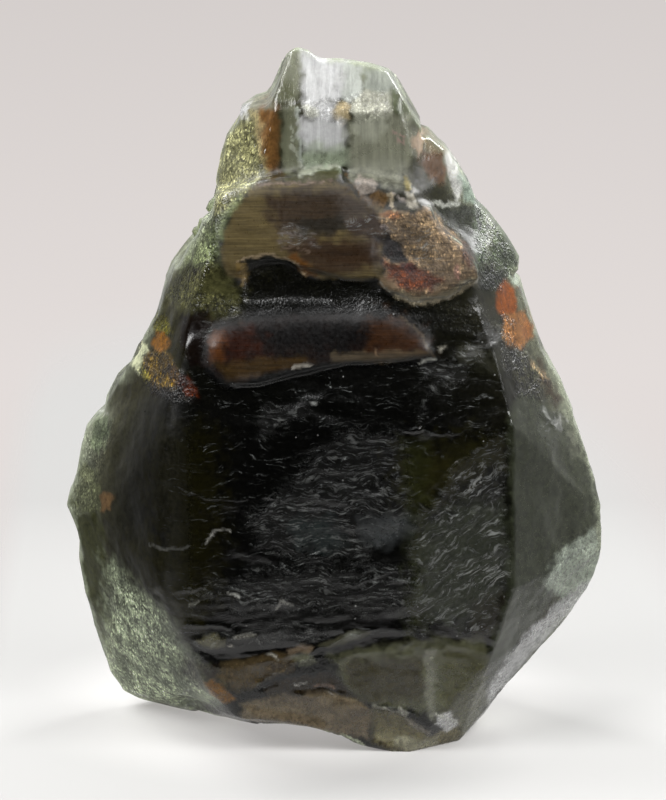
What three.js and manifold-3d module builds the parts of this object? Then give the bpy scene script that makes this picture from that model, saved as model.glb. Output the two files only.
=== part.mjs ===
// Sillimanite specimen: one broken gem crystal that stands on its broken base.
// Millimetres, +Z up. The front faces -Y, and the origin is on the floor under the stone's middle.

import * as THREE from "three";
import { ConvexGeometry } from "three/addons/geometries/ConvexGeometry.js";
import { mergeVertices } from "three/addons/utils/BufferGeometryUtils.js";
import Module from "manifold-3d";

const wasm = await Module();
wasm.setup();

// Driving dimensions
const FRONT_Y = -4.2;          // the flat front prism face
const BACK_Y = 5.0;            // the prism edge down the middle of the back
const RIM_Y = 0.3;             // the thin rim at x = 0, between front and back
const RIM_TURN = 0.11;         // how far the rim comes forward for each mm to the right
const RIM_THICK = 0.4;         // thickness of the chipped rim
const SHOULDER_Z = 12.2;       // above this the front leans back towards the tip
const TIP_Z = 23.9;            // top of the uncut block, just above the tip
const TIP_FRONT_Y = -1.35;     // the front face at the height of the tip
const TIP_BACK_Y = 1.75;       // the back face at the same height
const LEDGE_DEEP = 0.45;       // step from the upper plate back to the clear window
const LEAN = Math.atan((TIP_FRONT_Y - FRONT_Y) / (TIP_Z - SHOULDER_Z));
const TIP_SLANT = 28;          // degrees that the broken top falls to the back
const TIP_ROLL = 10;           // degrees that it falls to the right
const TIP_CREST_Z = 23.2;      // height of the broken top in the middle of the tip
const TIP_FACET_Z = 21.75;     // foot of the bright facet that leans back at the front of the tip
const TIP_FACET_LEAN = 37;     // degrees that it leans back
const BALL_RADIUS = 1.0;       // radius of the balls that cut the scallops
const OUTLINE_DEPTH = 20;      // longer than the stone is thick, so that the cut goes through
const STONE_COLOR = 0x4a4f42;  // dark green-grey
const STONE_ROUGHNESS = 0.25;
const SEED = 7;

// The four sides that a hackle may be on, as directions in x and y
const FRONT = [0, -1];
const BACK = [0, 1];
const LEFT = [-1, 0];
const RIGHT = [1, 0];

// The broken rim seen from the front, x and z, up the left side and down the right
const LEFT_RIM = [
  [-5.2, -0.5], [-5.3, 0.02], [-5.9, 0.2], [-6.7, 0.36], [-7.25, 0.62], [-7.72, 1.3], [-8.2, 2.8],
  [-8.53, 4.2], [-8.8, 5.9], [-8.93, 6.9], [-9.1, 7.2], [-9.05, 7.75], [-8.8, 8.15], [-8.6, 9.3],
  [-8.4, 10.1], [-8.1, 10.5], [-7.8, 10.75], [-7.75, 11.1], [-7.3, 12.0], [-6.85, 12.75],
  [-6.5, 13.1], [-6.45, 13.7], [-5.92, 14.6], [-5.75, 15.2], [-5.68, 15.5], [-5.32, 16.2],
  [-5.1, 16.35], [-4.8, 17.3], [-4.62, 17.3], [-4.5, 17.6], [-4.38, 18.0], [-4.12, 18.2],
  [-3.97, 18.25], [-3.95, 18.9], [-3.8, 19.7], [-3.55, 20.4],
  [-3.1, 21.05], [-3.05, 21.4], [-2.6, 21.65], [-2.2, 21.75], [-1.9, 22.3], [-1.6, 22.95],
  [-1.5, 23.45],
];
const RIGHT_RIM = [
  [-1.22, 23.6], [-0.85, 23.5], [-0.42, 23.2], [0.1, 23.24], [1.1, 23.05], [1.85, 22.87],
  [2.15, 22.4], [2.5, 21.75], [2.95, 21.05], [2.87, 20.75], [3.2, 20.74], [3.78, 20.2],
  [4.2, 19.62], [4.51, 19.15], [4.73, 18.75], [4.82, 18.4], [5.12, 18.12], [5.64, 17.45],
  [6.0, 16.95], [6.3, 16.5],
  [6.28, 16.2], [6.0, 15.95], [6.28, 15.75], [6.65, 14.6], [6.95, 13.8], [7.25, 13.0],
  [7.75, 12.2], [8.1, 11.2], [8.5, 9.9], [8.9, 8.7], [9.1, 7.8], [9.14, 6.4], [9.05, 5.7],
  [8.7, 4.9], [7.75, 3.66], [6.7, 2.6], [6.0, 1.9], [5.6, 1.35], [5.2, 0.5], [5.0, -0.5],
];

// Turns a closed geometry into a solid that can be joined and cut
function solid(geometry) {
  const bare = geometry.index ? geometry.toNonIndexed() : geometry.clone();
  bare.deleteAttribute("normal");
  bare.deleteAttribute("uv");
  const merged = mergeVertices(bare, 1e-5);
  return new wasm.Manifold(new wasm.Mesh({
    numProp: 3,
    vertProperties: new Float32Array(merged.attributes.position.array),
    triVerts: new Uint32Array(merged.index.array),
  }));
}

function hull(points) {
  return solid(new ConvexGeometry(points.map(([x, y, z]) => new THREE.Vector3(x, y, z))));
}

function rimY(x) {
  return RIM_Y - RIM_TURN * x;
}

// A place on the rim, as a point on its front edge and one on its back edge
function rim(x, z) {
  const half = RIM_THICK / 2;
  return [[x, rimY(x) - half, z], [x, rimY(x) + half, z]];
}

// The front surface of the uncut block at a height
function frontAt(z) {
  return z < SHOULDER_Z ? FRONT_Y : FRONT_Y + Math.tan(LEAN) * (z - SHOULDER_Z);
}

// Repeatable random numbers between 0 and 1
function seeded(seed) {
  let state = seed;
  return () => {
    state = (state * 16807) % 2147483647;
    return state / 2147483647;
  };
}

// A shape drawn in x and z, pushed through the stone from front to back
function through(points) {
  const shape = new THREE.Shape(points.map(([x, z]) => new THREE.Vector2(x, z)));
  const geometry = new THREE.ExtrudeGeometry(shape, {
    depth: OUTLINE_DEPTH, bevelEnabled: false,
  });
  geometry.rotateX(Math.PI / 2);
  geometry.translate(0, OUTLINE_DEPTH / 2, 0);
  return solid(geometry);
}

// A flat plate on the front, drawn in x and z, whose face follows the front at its own height
function frontPlate(points, rise, slope = 0.18, depth = 1.2) {
  const middleZ = points.reduce((sum, [, z]) => sum + z, 0) / points.length;
  const tilt = middleZ < SHOULDER_Z ? 0 : LEAN;
  const stretch = 1 / Math.cos(tilt);
  const outline = points.map(([x, z]) => new THREE.Vector2(x, (z - middleZ) * stretch));
  const geometry = new THREE.ExtrudeGeometry(new THREE.Shape(outline), {
    depth, bevelSize: slope, bevelThickness: slope, bevelOffset: -slope, bevelSegments: 1,
  });
  geometry.rotateX(Math.PI / 2);
  geometry.translate(0, depth + slope - rise, 0);
  geometry.rotateX(-tilt);
  geometry.translate(0, frontAt(middleZ), middleZ);
  return solid(geometry);
}

// A rounded hollow or lump with its three half-widths, and turns about x, y and z in degrees
function blob([x, y, z], [a, b, c], turns = [0, 0, 0], detail = 2) {
  const geometry = new THREE.IcosahedronGeometry(1, detail);
  geometry.scale(a, b, c);
  const [turnX, turnY, turnZ] = turns.map(THREE.MathUtils.degToRad);
  const turn = new THREE.Euler(turnX, turnY, turnZ, "XYZ");
  geometry.applyQuaternion(new THREE.Quaternion().setFromEuler(turn));
  geometry.translate(x, y, z);
  return solid(geometry);
}

// The place on the stone that a level line from one side meets first, and how the face lies there
function frameAt(target, across, z, [sideX, sideY]) {
  const start = new THREE.Vector3(
    sideX ? sideX * OUTLINE_DEPTH : across, sideY ? sideY * OUTLINE_DEPTH : across, z);
  const ray = new THREE.Raycaster(start, new THREE.Vector3(-sideX, -sideY, 0));
  const [hit] = ray.intersectObject(target);
  if (!hit) {
    return null;
  }
  const out = hit.face.normal.clone();
  const up = new THREE.Vector3(0, 0, 1);
  up.addScaledVector(out, -up.dot(out)).normalize();
  return { origin: hit.point, out, up, across: up.clone().cross(out) };
}

// A shallow shell-shaped hollow in a face, cut by a ball that is rolled before it is flattened
function scallop(frame, { long, tall, deep, tilt, roll, detail }) {
  const spread = Math.sqrt(1 - (1 - deep / BALL_RADIUS) ** 2);
  const geometry = new THREE.IcosahedronGeometry(1, detail);
  geometry.rotateX(roll);
  geometry.rotateZ(2 * roll);
  geometry.scale(long / spread, BALL_RADIUS, tall / spread);
  geometry.rotateY(THREE.MathUtils.degToRad(tilt));
  const inward = frame.out.clone().negate();
  geometry.applyMatrix4(new THREE.Matrix4().makeBasis(frame.across, inward, frame.up));
  const centre = frame.origin.clone().addScaledVector(frame.out, BALL_RADIUS - deep);
  geometry.translate(centre.x, centre.y, centre.z);
  return solid(geometry);
}

// A strip of overlapping scallops up a side: the crisp ridges left between them are the hackles
function scalloped(target, random, { from, to, side = FRONT, wide, columns, rows, long, tall, deep,
  tilt = 0, spin = 10, detail = 1 }) {
  const cuts = [];
  const vary = (spread) => 1 + spread * (2 * random() - 1);
  for (let row = 0; row < rows; row += 1) {
    const share = (row + 0.5 * vary(0.6)) / rows;
    for (let column = 0; column < columns; column += 1) {
      const offset = ((column + 0.5 * vary(0.7)) / columns - 0.5) * wide;
      const across = from[0] + share * (to[0] - from[0]) + offset;
      const z = from[1] + share * (to[1] - from[1]) + 0.25 * tall * (2 * random() - 1);
      const shape = {
        long: long * vary(0.35), tall: tall * vary(0.35), deep: deep * vary(0.4),
        tilt: tilt + spin * (2 * random() - 1), roll: Math.PI * random(), detail,
      };
      const frame = frameAt(target, across, z, side);
      if (frame) {
        cuts.push(scallop(frame, shape));
      }
    }
  }
  return cuts;
}

// The body, a block of flat faces: a front prism face that leans back above the shoulder, side faces
// that fall to the thin rim, and a back that is folded along an upright prism edge
function body() {
  const front = [
    [6.05, FRONT_Y, SHOULDER_Z - 0.6], [6.05, FRONT_Y, 6.0], [5.2, FRONT_Y + 0.1, 3.2],
    [-5.6, FRONT_Y, SHOULDER_Z - 0.8], [-5.75, FRONT_Y, 6.4], [-4.4, FRONT_Y + 0.2, 2.6],
    [-3.3, FRONT_Y + 0.2, 1.35],
  ];
  const ledge = [[-3.6, 19.3], [-2.4, 19.7], [-0.3, 19.95], [0.5, 19.9], [3.2, 19.2], [3.9, 18.6]]
    .map(([x, z]) => [x, frontAt(z), z]);
  const left = [[-7.9, -1.0, 7.6], [-7.2, -0.9, 3.0], [-6.9, -1.1, 11.2]];
  const base = [
    [2.35, FRONT_Y + 0.25, 0], [4.3, -2.6, 0], [4.95, -0.6, 0], [4.2, 2.6, 0], [0.2, 4.0, 0],
    [-4.2, 3.0, 0], [-5.5, 1.3, 0], [-5.3, 0.75, 0],
  ];
  const edge = [
    [5.1, 18.45], [5.9, 17.35], [6.4, 16.4], [7.8, 12.2], [8.6, 9.9], [9.15, 7.8], [9.2, 6.4],
    [8.75, 4.8], [7.8, 3.6], [5.9, 1.7], [-4.55, 18.3], [-6.55, 13.8], [-8.45, 10.2], [-9.1, 7.3],
    [-8.6, 4.1], [-7.75, 1.25], [-7.3, 0.6], [-6.7, 0.3],
  ].flatMap(([x, z]) => rim(x, z));
  const back = [
    [-1.1, BACK_Y, 9.8], [-1.3, BACK_Y + 0.1, 3.4], [2.9, BACK_Y - 0.7, 10.0],
    [3.4, BACK_Y - 0.5, 3.0], [-4.9, BACK_Y - 1.1, 9.0], [-4.9, BACK_Y - 1.1, 3.6],
    [-0.9, 3.3, 17.0], [1.3, 3.0, 17.6], [-2.6, 2.6, 17.4],
  ];
  return hull([...front, ...ledge, ...left, ...base, ...edge, ...back]);
}

// The tower, the thinner clear part over the body, one ledge behind the body's front
function tower() {
  const windowAt = (x, z) => [x, frontAt(z) + LEDGE_DEEP, z];
  const front = [
    windowAt(-1.35, TIP_Z), windowAt(1.55, TIP_Z - 0.4), windowAt(-3.0, 18.0), windowAt(3.4, 18.0),
    windowAt(-2.3, 20.6), windowAt(2.5, 20.8),
  ];
  const edge = [
    [-4.05, 17.6], [-4.0, 18.9], [-3.65, 20.4], [-3.1, 21.4], [-2.1, 21.9], [-1.55, TIP_Z],
    [1.95, TIP_Z - 0.6], [3.1, 21.0], [4.25, 20.1], [5.05, 18.9], [5.1, 17.6],
  ].flatMap(([x, z]) => rim(x, z));
  const back = [
    [-0.9, TIP_BACK_Y, TIP_Z], [0.9, TIP_BACK_Y - 0.1, TIP_Z], [-0.3, 2.7, 18.6],
    [-2.2, 2.2, 17.6], [2.0, 2.0, 17.8],
  ];
  return hull([...front, ...edge, ...back]);
}

// The smooth brown plates that stand a little proud of the front
function plates() {
  const upper = frontPlate([
    [-3.7, 19.15], [-2.9, 19.5], [-0.9, 19.7], [0.45, 19.55], [1.2, 19.0], [2.0, 18.6],
    [1.9, 16.4], [0.3, 16.45], [-0.8, 16.7], [-1.6, 16.95], [-2.4, 16.9], [-3.1, 16.6],
    [-3.75, 16.75], [-4.0, 17.8],
  ], 0.13, 0.09);
  const flake = frontPlate([
    [1.5, 18.4], [2.1, 18.75], [3.2, 18.8], [3.45, 18.3], [3.9, 17.9], [4.35, 17.6], [4.75, 17.0],
    [4.85, 16.5], [4.4, 16.2], [3.9, 15.95], [3.3, 15.7], [2.5, 15.75], [1.7, 16.1], [1.3, 17.2],
  ], 0.3, 0.16);
  const lower = frontPlate([
    [-4.2, 14.3], [-4.0, 14.85], [-3.2, 15.2], [-0.4, 15.3], [1.6, 15.35], [2.6, 15.1],
    [3.15, 14.5], [3.3, 13.95], [2.0, 13.8], [0.4, 13.7], [-1.0, 13.35], [-2.5, 13.05],
    [-3.6, 13.0], [-4.1, 13.5],
  ], 0.13, 0.09);
  return [upper, flake, lower];
}

// Small grains of other crystals that grew on the ledge over the plates
function grains() {
  return [
    blob([1.1, frontAt(19.5) + 0.1, 19.45], [0.42, 0.34, 0.3], [0, 20, 0], 1),
    blob([2.55, frontAt(19.2) + 0.1, 19.15], [0.2, 0.25, 0.32], [0, 10, 0], 1),
    blob([2.4, frontAt(19.6) + 0.5, 19.55], [0.12, 0.35, 0.34], [0, -12, 0], 1),
    blob([1.95, frontAt(19.0) + 0.05, 19.05], [0.3, 0.2, 0.14], [0, 35, 0], 1),
  ];
}

// Small bright splinters that still stand on the left rim
function splinters() {
  return [
    [-4.13, 17.95, 0.18, 0.22], [-4.04, 18.17, 0.1, 0.13], [-4.33, 17.38, 0.22, 0.24],
    [-4.55, 17.02, 0.22, 0.2], [-5.15, 16.0, 0.2, 0.24],
  ].map(([x, z, wide, tall]) => blob([x, rimY(x), z], [wide, 0.25, tall], [0, 30, 0], 1));
}

// The tip is broken along a slant that falls to the back
function tipSlant() {
  const size = 12;
  const crestY = 0.15;
  const geometry = new THREE.BoxGeometry(size, size, size);
  geometry.translate(0, size / 2, size / 2);
  geometry.rotateX(THREE.MathUtils.degToRad(-TIP_SLANT));
  geometry.rotateY(THREE.MathUtils.degToRad(TIP_ROLL));
  geometry.translate(0, crestY, TIP_CREST_Z);
  return solid(geometry);
}

// A second facet at the front of the tip leans back further than the clear window under it
function tipFacet() {
  const size = 12;
  const geometry = new THREE.BoxGeometry(size, size, size);
  geometry.translate(0, -size / 2, size / 2);
  geometry.rotateX(THREE.MathUtils.degToRad(-TIP_FACET_LEAN));
  geometry.translate(0, frontAt(TIP_FACET_Z) + LEDGE_DEEP, TIP_FACET_Z);
  return solid(geometry);
}

// Large broken hollows and steps
function scoops() {
  return [
    // flake scar on the right shoulder, which ends in a small shelf
    blob([6.4, -3.0, 17.5], [1.3, 1.9, 1.5], [0, -30, 0]),
    // dark notch in the ledge over the plates
    blob([0.75, -2.6, 19.75], [0.3, 0.7, 0.35], [0, 0, 0], 1),
    // long smooth hollow down the lower right side
    blob([9.9, -4.4, 5.2], [3.2, 2.6, 4.4], [0, 12, 0], 3),
    // frosted hollow low on the left
    blob([-8.9, -2.9, 3.2], [2.3, 2.4, 3.2], [0, -14, 0], 3),
    // undercut broken edge along the front of the base
    blob([-1.9, -5.1, 0.1], [3.3, 2.1, 1.35], [0, 8, 0], 3),
    blob([-5.2, -3.4, 0.4], [1.8, 2.6, 1.3], [0, 0, 10]),
    // two low arches where the base doesn't reach the floor
    blob([-1.1, -2.8, -0.1], [2.35, 2.8, 1.1], [0, 4, -24], 3),
    blob([-4.2, -0.4, -0.1], [0.9, 1.5, 0.8], [0, 0, -24]),
    // shell-shaped break in the front lobe of the base
    blob([1.9, -4.7, 0.3], [3.4, 1.0, 1.7], [0, 14, 0], 3),
    blob([-1.3, -4.72, 1.5], [2.6, 0.9, 1.0], [0, 12, 0], 3),
    // tip
    blob([-2.4, -1.3, 22.9], [0.8, 1.0, 0.9]),
    blob([1.2, -2.0, 23.9], [1.7, 1.6, 1.1], [0, 12, 0]),
    // back
    blob([-6.2, 5.6, 13.2], [3.2, 2.9, 4.0], [10, 22, 0], 3),
    blob([6.0, 5.2, 14.2], [2.8, 3.0, 3.6], [0, -24, 0], 3),
    blob([7.6, 5.6, 4.4], [3.0, 3.4, 3.2], [0, -8, 0], 3),
    blob([0.2, 4.2, 21.0], [1.5, 2.0, 2.0], [0, 6, 0]),
    blob([-2.6, 6.6, 0.6], [3.4, 2.9, 1.7], [0, -6, 0], 3),
  ];
}

// The base is broken flat, and the rest of the stone stays above the floor
function floorBlock() {
  const size = 3 * OUTLINE_DEPTH;
  const geometry = new THREE.BoxGeometry(size, size, size);
  geometry.translate(0, 0, -size / 2);
  return solid(geometry);
}

function cutAll(stone, cuts) {
  return cuts.reduce((rest, cut) => rest.subtract(cut), stone);
}

function joinAll(stone, lumps) {
  return lumps.reduce((whole, lump) => whole.add(lump), stone);
}

// Strips of scallops over the front and the back, each with its own size of scallop
const faceHackles = [
  // the black front
  { from: [0.2, 3.9], to: [0.2, 12.6], wide: 10.8, columns: 3, rows: 11, long: 2.2, tall: 0.6,
    deep: 0.07 },
  // between and under the plates
  { from: [0.6, 12.8], to: [0.9, 19.2], wide: 8.6, columns: 3, rows: 6, long: 1.8, tall: 0.7,
    deep: 0.08 },
  // left flank and right flank, up to the tip
  { from: [-7.0, 11.0], to: [-3.4, 20.8], wide: 1.6, columns: 2, rows: 7, long: 1.1, tall: 1.0,
    deep: 0.08, tilt: 24, spin: 30 },
  { from: [6.8, 11.6], to: [2.9, 20.2], wide: 1.4, columns: 2, rows: 5, long: 0.8, tall: 1.5,
    deep: 0.07, tilt: -20 },
  // low on the left and on the right
  { from: [-7.4, 1.6], to: [-7.4, 10.4], wide: 2.2, columns: 2, rows: 5, long: 1.2, tall: 1.4,
    deep: 0.07, spin: 35 },
  { from: [7.5, 3.4], to: [7.8, 10.4], wide: 1.6, columns: 1, rows: 4, long: 1.5, tall: 1.7,
    deep: 0.07, spin: 35 },
  // broken band across the tip
  { from: [0.2, 21.7], to: [0.5, 22.1], wide: 3.4, columns: 4, rows: 1, long: 0.6, tall: 0.3,
    deep: 0.12 },
  // back of the body and of the tower
  { from: [-0.2, 0.9], to: [-0.1, 16.5], side: BACK, wide: 14.5, columns: 3, rows: 6, long: 2.8,
    tall: 1.5, deep: 0.26, spin: 35, detail: 2 },
  { from: [0.4, 2.5], to: [-0.6, 15.0], side: BACK, wide: 9.0, columns: 2, rows: 7, long: 2.0,
    tall: 0.5, deep: 0.16, spin: 12 },
  { from: [-0.1, 16.6], to: [0.1, 21.8], side: BACK, wide: 4.4, columns: 2, rows: 4, long: 1.3,
    tall: 0.9, deep: 0.15, spin: 30 },
];

// Chips on the thin rim itself, where y is measured across it
const rimHackles = [
  { from: [1.2, 2.0], to: [0.7, 21.0], side: LEFT, wide: 1.4, columns: 2, rows: 13, long: 0.75,
    tall: 0.6, deep: 0.07, spin: 40 },
  { from: [-0.6, 3.0], to: [-0.3, 17.0], side: RIGHT, wide: 1.4, columns: 2, rows: 8, long: 0.75,
    tall: 0.7, deep: 0.07, spin: 40 },
];

function crystal() {
  const random = seeded(SEED);
  const scallopsOn = (stone, strips) => {
    const target = meshOf(stone);
    return strips.flatMap((strip) => scalloped(target, random, strip));
  };
  let stone = body().add(tower()).subtract(tipSlant()).subtract(tipFacet());
  stone = cutAll(stone, scoops());
  stone = cutAll(stone, scallopsOn(stone, faceHackles));
  stone = joinAll(stone, [...plates(), ...grains()]);
  stone = stone.intersect(through([...LEFT_RIM, ...RIGHT_RIM]));
  stone = cutAll(stone, scallopsOn(stone, rimHackles));
  return joinAll(stone, splinters()).subtract(floorBlock());
}

function meshOf(stone) {
  const { vertProperties, triVerts } = stone.getMesh();
  const geometry = new THREE.BufferGeometry();
  geometry.setAttribute("position", new THREE.BufferAttribute(vertProperties, 3));
  geometry.setIndex(new THREE.BufferAttribute(triVerts, 1));
  geometry.computeVertexNormals();
  const material = new THREE.MeshStandardMaterial({
    color: STONE_COLOR, roughness: STONE_ROUGHNESS, metalness: 0,
  });
  return new THREE.Mesh(geometry, material);
}

// Moves the stone so that the origin is on the floor, under the middle of its outer size
function standAtOrigin(geometry) {
  geometry.computeBoundingBox();
  const { min, max } = geometry.boundingBox;
  geometry.translate(-(min.x + max.x) / 2, -(min.y + max.y) / 2, -min.z);
}

const stone = meshOf(crystal());
stone.name = "sillimanite_crystal";
standAtOrigin(stone.geometry);

const specimen = new THREE.Group();
specimen.add(stone);

export default specimen;
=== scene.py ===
# %% [markdown]
# # A dark, see-through crystal on a white surface
#
# The object is one broken crystal of sillimanite, 23.6 mm tall. Its thick middle is almost black, and
# its thin rims and its tip let light through. The CAD frame holds the true form of the stone: its flat
# faces, its plates and its large breaks. Here the same form gets the fine relief of a real break, and
# a finish of clear, tinted and iron-stained crystal.
#
# All sizes in this lesson are in millimetres until the mesh is finished. Then it is scaled to metres,
# the frame's unit, and the sheet that it stands on is drawn in metres as well.

# %% Load the frame
import math

import bmesh
import bpy
import numpy as np
from mathutils import Matrix, Vector, noise
from mathutils.bvhtree import BVHTree


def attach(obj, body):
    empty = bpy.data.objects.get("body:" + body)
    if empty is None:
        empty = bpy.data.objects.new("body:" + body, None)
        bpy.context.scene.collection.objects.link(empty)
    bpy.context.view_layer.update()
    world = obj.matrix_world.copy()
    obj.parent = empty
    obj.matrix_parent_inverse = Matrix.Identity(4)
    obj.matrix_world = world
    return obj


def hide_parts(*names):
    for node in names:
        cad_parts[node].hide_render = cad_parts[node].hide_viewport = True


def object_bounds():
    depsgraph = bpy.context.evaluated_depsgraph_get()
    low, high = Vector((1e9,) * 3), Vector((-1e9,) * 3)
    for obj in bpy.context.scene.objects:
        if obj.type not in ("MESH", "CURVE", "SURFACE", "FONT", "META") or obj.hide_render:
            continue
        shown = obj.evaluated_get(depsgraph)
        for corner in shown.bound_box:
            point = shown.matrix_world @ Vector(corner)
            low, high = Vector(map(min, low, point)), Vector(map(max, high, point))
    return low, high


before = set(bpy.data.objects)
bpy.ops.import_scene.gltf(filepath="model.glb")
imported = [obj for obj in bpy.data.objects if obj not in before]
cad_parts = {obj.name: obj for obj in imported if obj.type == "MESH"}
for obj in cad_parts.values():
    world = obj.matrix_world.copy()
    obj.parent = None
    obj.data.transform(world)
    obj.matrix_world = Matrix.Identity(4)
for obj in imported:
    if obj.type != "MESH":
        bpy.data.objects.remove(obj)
CAD_BOX = [list(corner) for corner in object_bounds()]
MM = 0.001
NODE = "sillimanite_crystal"
HEIGHT = CAD_BOX[1][2] / MM
print("the stone is", round(HEIGHT, 1), "mm tall")

# %% [markdown]
# ## The camera
#
# The picture is a close-up from slightly above. A long lens, far from the stone, keeps its upright
# edges upright. The lens is worked out from the width of one pixel on the stone, so that the stone
# fills the frame as it does in the picture.

# %% The camera
IMAGE_HEIGHT = 800
PIXEL = 0.034
ELEVATION = math.radians(16)
DISTANCE = 200.0
AIM = Vector((-0.02, -0.43, 11.34))
SENSOR = 36.0


def add_camera():
    """Adds the camera in front of the stone, aimed at its middle, and makes it the scene's camera."""
    data = bpy.data.cameras.new("camera")
    data.sensor_width = SENSOR
    data.lens = SENSOR * DISTANCE / (IMAGE_HEIGHT * PIXEL)
    data.clip_start = 0.01
    data.clip_end = 10.0
    camera = bpy.data.objects.new("camera", data)
    back = Vector((0, -math.cos(ELEVATION), math.sin(ELEVATION)))
    camera.location = (AIM + DISTANCE * back) * MM
    camera.rotation_euler = (math.pi / 2 - ELEVATION, 0, 0)
    bpy.context.scene.collection.objects.link(camera)
    bpy.context.scene.camera = camera
    return camera


camera = add_camera()
print("lens", round(camera.data.lens, 1), "mm")

# %% [markdown]
# ## A mesh that is fine enough to carve
#
# The CAD solid is made of a few thousand flat triangles of very different sizes. Relief of a tenth of a
# millimetre needs small faces of one size, all over. A voxel remesh gives just that, and keeps the
# faces and plates where they are. The mesh could also be subdivided, but the long thin triangles of the
# solid would then stay long and thin, and would show as creases.

# %% Remesh the solid
VOXEL = 0.062


def merged_copy(name):
    """The mesh of a CAD node, its loose triangles merged, in millimetres."""
    form = bmesh.new()
    form.from_mesh(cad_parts[name].data)
    bmesh.ops.remove_doubles(form, verts=form.verts, dist=1e-6)
    bmesh.ops.scale(form, vec=(1 / MM,) * 3, verts=form.verts)
    mesh = bpy.data.meshes.new("crystal")
    form.to_mesh(mesh)
    form.free()
    return mesh


def apply_modifiers(piece):
    """Puts what the modifiers of a piece make into its mesh, and removes them."""
    graph = bpy.context.evaluated_depsgraph_get()
    made = bpy.data.meshes.new_from_object(piece.evaluated_get(graph))
    piece.modifiers.clear()
    piece.data = made


crystal = bpy.data.objects.new("crystal", merged_copy(NODE))
bpy.context.scene.collection.objects.link(crystal)
remesh = crystal.modifiers.new("remesh", "REMESH")
remesh.mode = "VOXEL"
remesh.voxel_size = VOXEL
apply_modifiers(crystal)
print("remeshed to", len(crystal.data.polygons), "faces")


def points_of(mesh):
    """The places of a mesh's vertices, one row each."""
    places = np.zeros(3 * len(mesh.vertices))
    mesh.vertices.foreach_get("co", places)
    return places.reshape(-1, 3)


def normals_of(mesh):
    """The outward directions of a mesh at its vertices, one row each."""
    normals = np.zeros(3 * len(mesh.vertices))
    mesh.vertex_normals.foreach_get("vector", normals)
    return normals.reshape(-1, 3)


# %% [markdown]
# ## Where each kind of surface is
#
# A break surface isn't the same all over: the front has smooth brown plates, a black field of hackles,
# and a pitted, glistening edge. Each such place is a region, drawn as a few points across (x) and up
# (z) on the front of the stone. The same regions shape the relief and the colours, so that both always
# agree. A region's edge is softened and made to wander with noise, because no break is a straight line.

# %% Regions and noise
# An outline is the text of its points, "x,z x,z", in millimetres.
UPPER_PLATE = ("-3.7,18.7 -3,19.25 -1.1,19.5 0.4,19.4 1.56,18.5 1.4,17.4 1.56,16.3 0.4,16.5 -0.6,16.42 "
               "-1.1,16.7 -1.9,17 -2.8,16.8 -3.1,16.3 -3.5,16.6 -3.8,17 -3.85,18.2")
FLAKE = ("1.5,18.5 2.1,18.75 3.2,18.7 3.43,18.4 4.05,17.7 4.4,17.5 4.85,16.8 4.87,16.3 4.5,16.35 4.05,16.1 "
         "3.45,15.84 2.9,15.8 2.2,16 1.5,16.3 1.35,17.2")
LOWER_PLATE = ("-4.26,14.25 -3.93,14.87 -3.1,15.13 -1.8,15.22 1.56,15.29 2.56,15.06 3.05,14.53 3.3,13.9 "
               "2.06,13.89 0.4,13.76 -1.1,13.44 -2.43,13.19 -3.6,13.1 -4.1,13.5")
RIM_Y = -0.13
RIM_TURN = 0.11


def drawn(text):
    """The points of an outline or a line that is written as text."""
    return [[float(number) for number in point.split(",")] for point in text.split()]


def step(values, low, high):
    """0 below low, 1 above high, and a smooth rise between."""
    share = np.clip((values - low) / (high - low), 0, 1)
    return share * share * (3 - 2 * share)


def bell(distance, width):
    """1 on a line, falling off softly to both sides of it."""
    return np.exp(-(distance / width) ** 2)


def within(values, rise, fall):
    """0, a smooth rise over the first two values to 1, and a smooth fall over the other two to 0."""
    return step(values, *rise) * step(-values, -fall[1], -fall[0])


def ripple(points, scale, octaves=3, shift=0.0):
    """Soft noise from about -1 to 1 at each point. Scale is how often it changes in a millimetre."""
    places = points * np.array(scale) + shift
    return np.array([noise.fractal(place, 1.0, 2.0, octaves) for place in places.tolist()])


def ridges(points, scale, octaves=4, shift=0.0):
    """Noise with sharp crests, from 0 to about 2."""
    places = points * np.array(scale) + shift
    return np.array([noise.ridged_multi_fractal(place, 0.9, 2.1, octaves, 1.0, 2.0)
                     for place in places.tolist()])


print("a step from 0 to 1 is", step(np.array([0.5]), 0, 1)[0], "half-way")


# %% Distances to drawn lines
def from_piece(x, z, x0, z0, x1, z1):
    """Distance of each place to one straight piece of a line."""
    along = ((x - x0) * (x1 - x0) + (z - z0) * (z1 - z0)) / ((x1 - x0) ** 2 + (z1 - z0) ** 2)
    along = np.clip(along, 0, 1)
    return np.hypot(x - x0 - along * (x1 - x0), z - z0 - along * (z1 - z0))


def across(points, outline):
    """Distance in from the edge of an outline in x and z; it is negative outside."""
    x, z = points[:, 0], points[:, 2]
    corners = drawn(outline)
    nearest = np.full(len(points), np.inf)
    inside = np.zeros(len(points), bool)
    for (x0, z0), (x1, z1) in zip(corners, corners[1:] + corners[:1]):
        nearest = np.minimum(nearest, from_piece(x, z, x0, z0, x1, z1))
        if z0 != z1:
            crosses = ((z0 > z) != (z1 > z)) & (x < x0 + (z - z0) * (x1 - x0) / (z1 - z0))
            inside ^= crosses
    return np.where(inside, nearest, -nearest)


def beside(points, line):
    """Distance to an open line in x and z."""
    x, z = points[:, 0], points[:, 2]
    corners = drawn(line)
    nearest = np.full(len(points), np.inf)
    for (x0, z0), (x1, z1) in zip(corners, corners[1:]):
        nearest = np.minimum(nearest, from_piece(x, z, x0, z0, x1, z1))
    return nearest


def frontness(points):
    """1 on the front of the thin rim, 0 behind it."""
    return step(RIM_Y - RIM_TURN * points[:, 0] - points[:, 1], -0.1, 0.5)


print("regions are drawn in x and z, from 0 to", round(HEIGHT, 1), "mm up")

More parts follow.
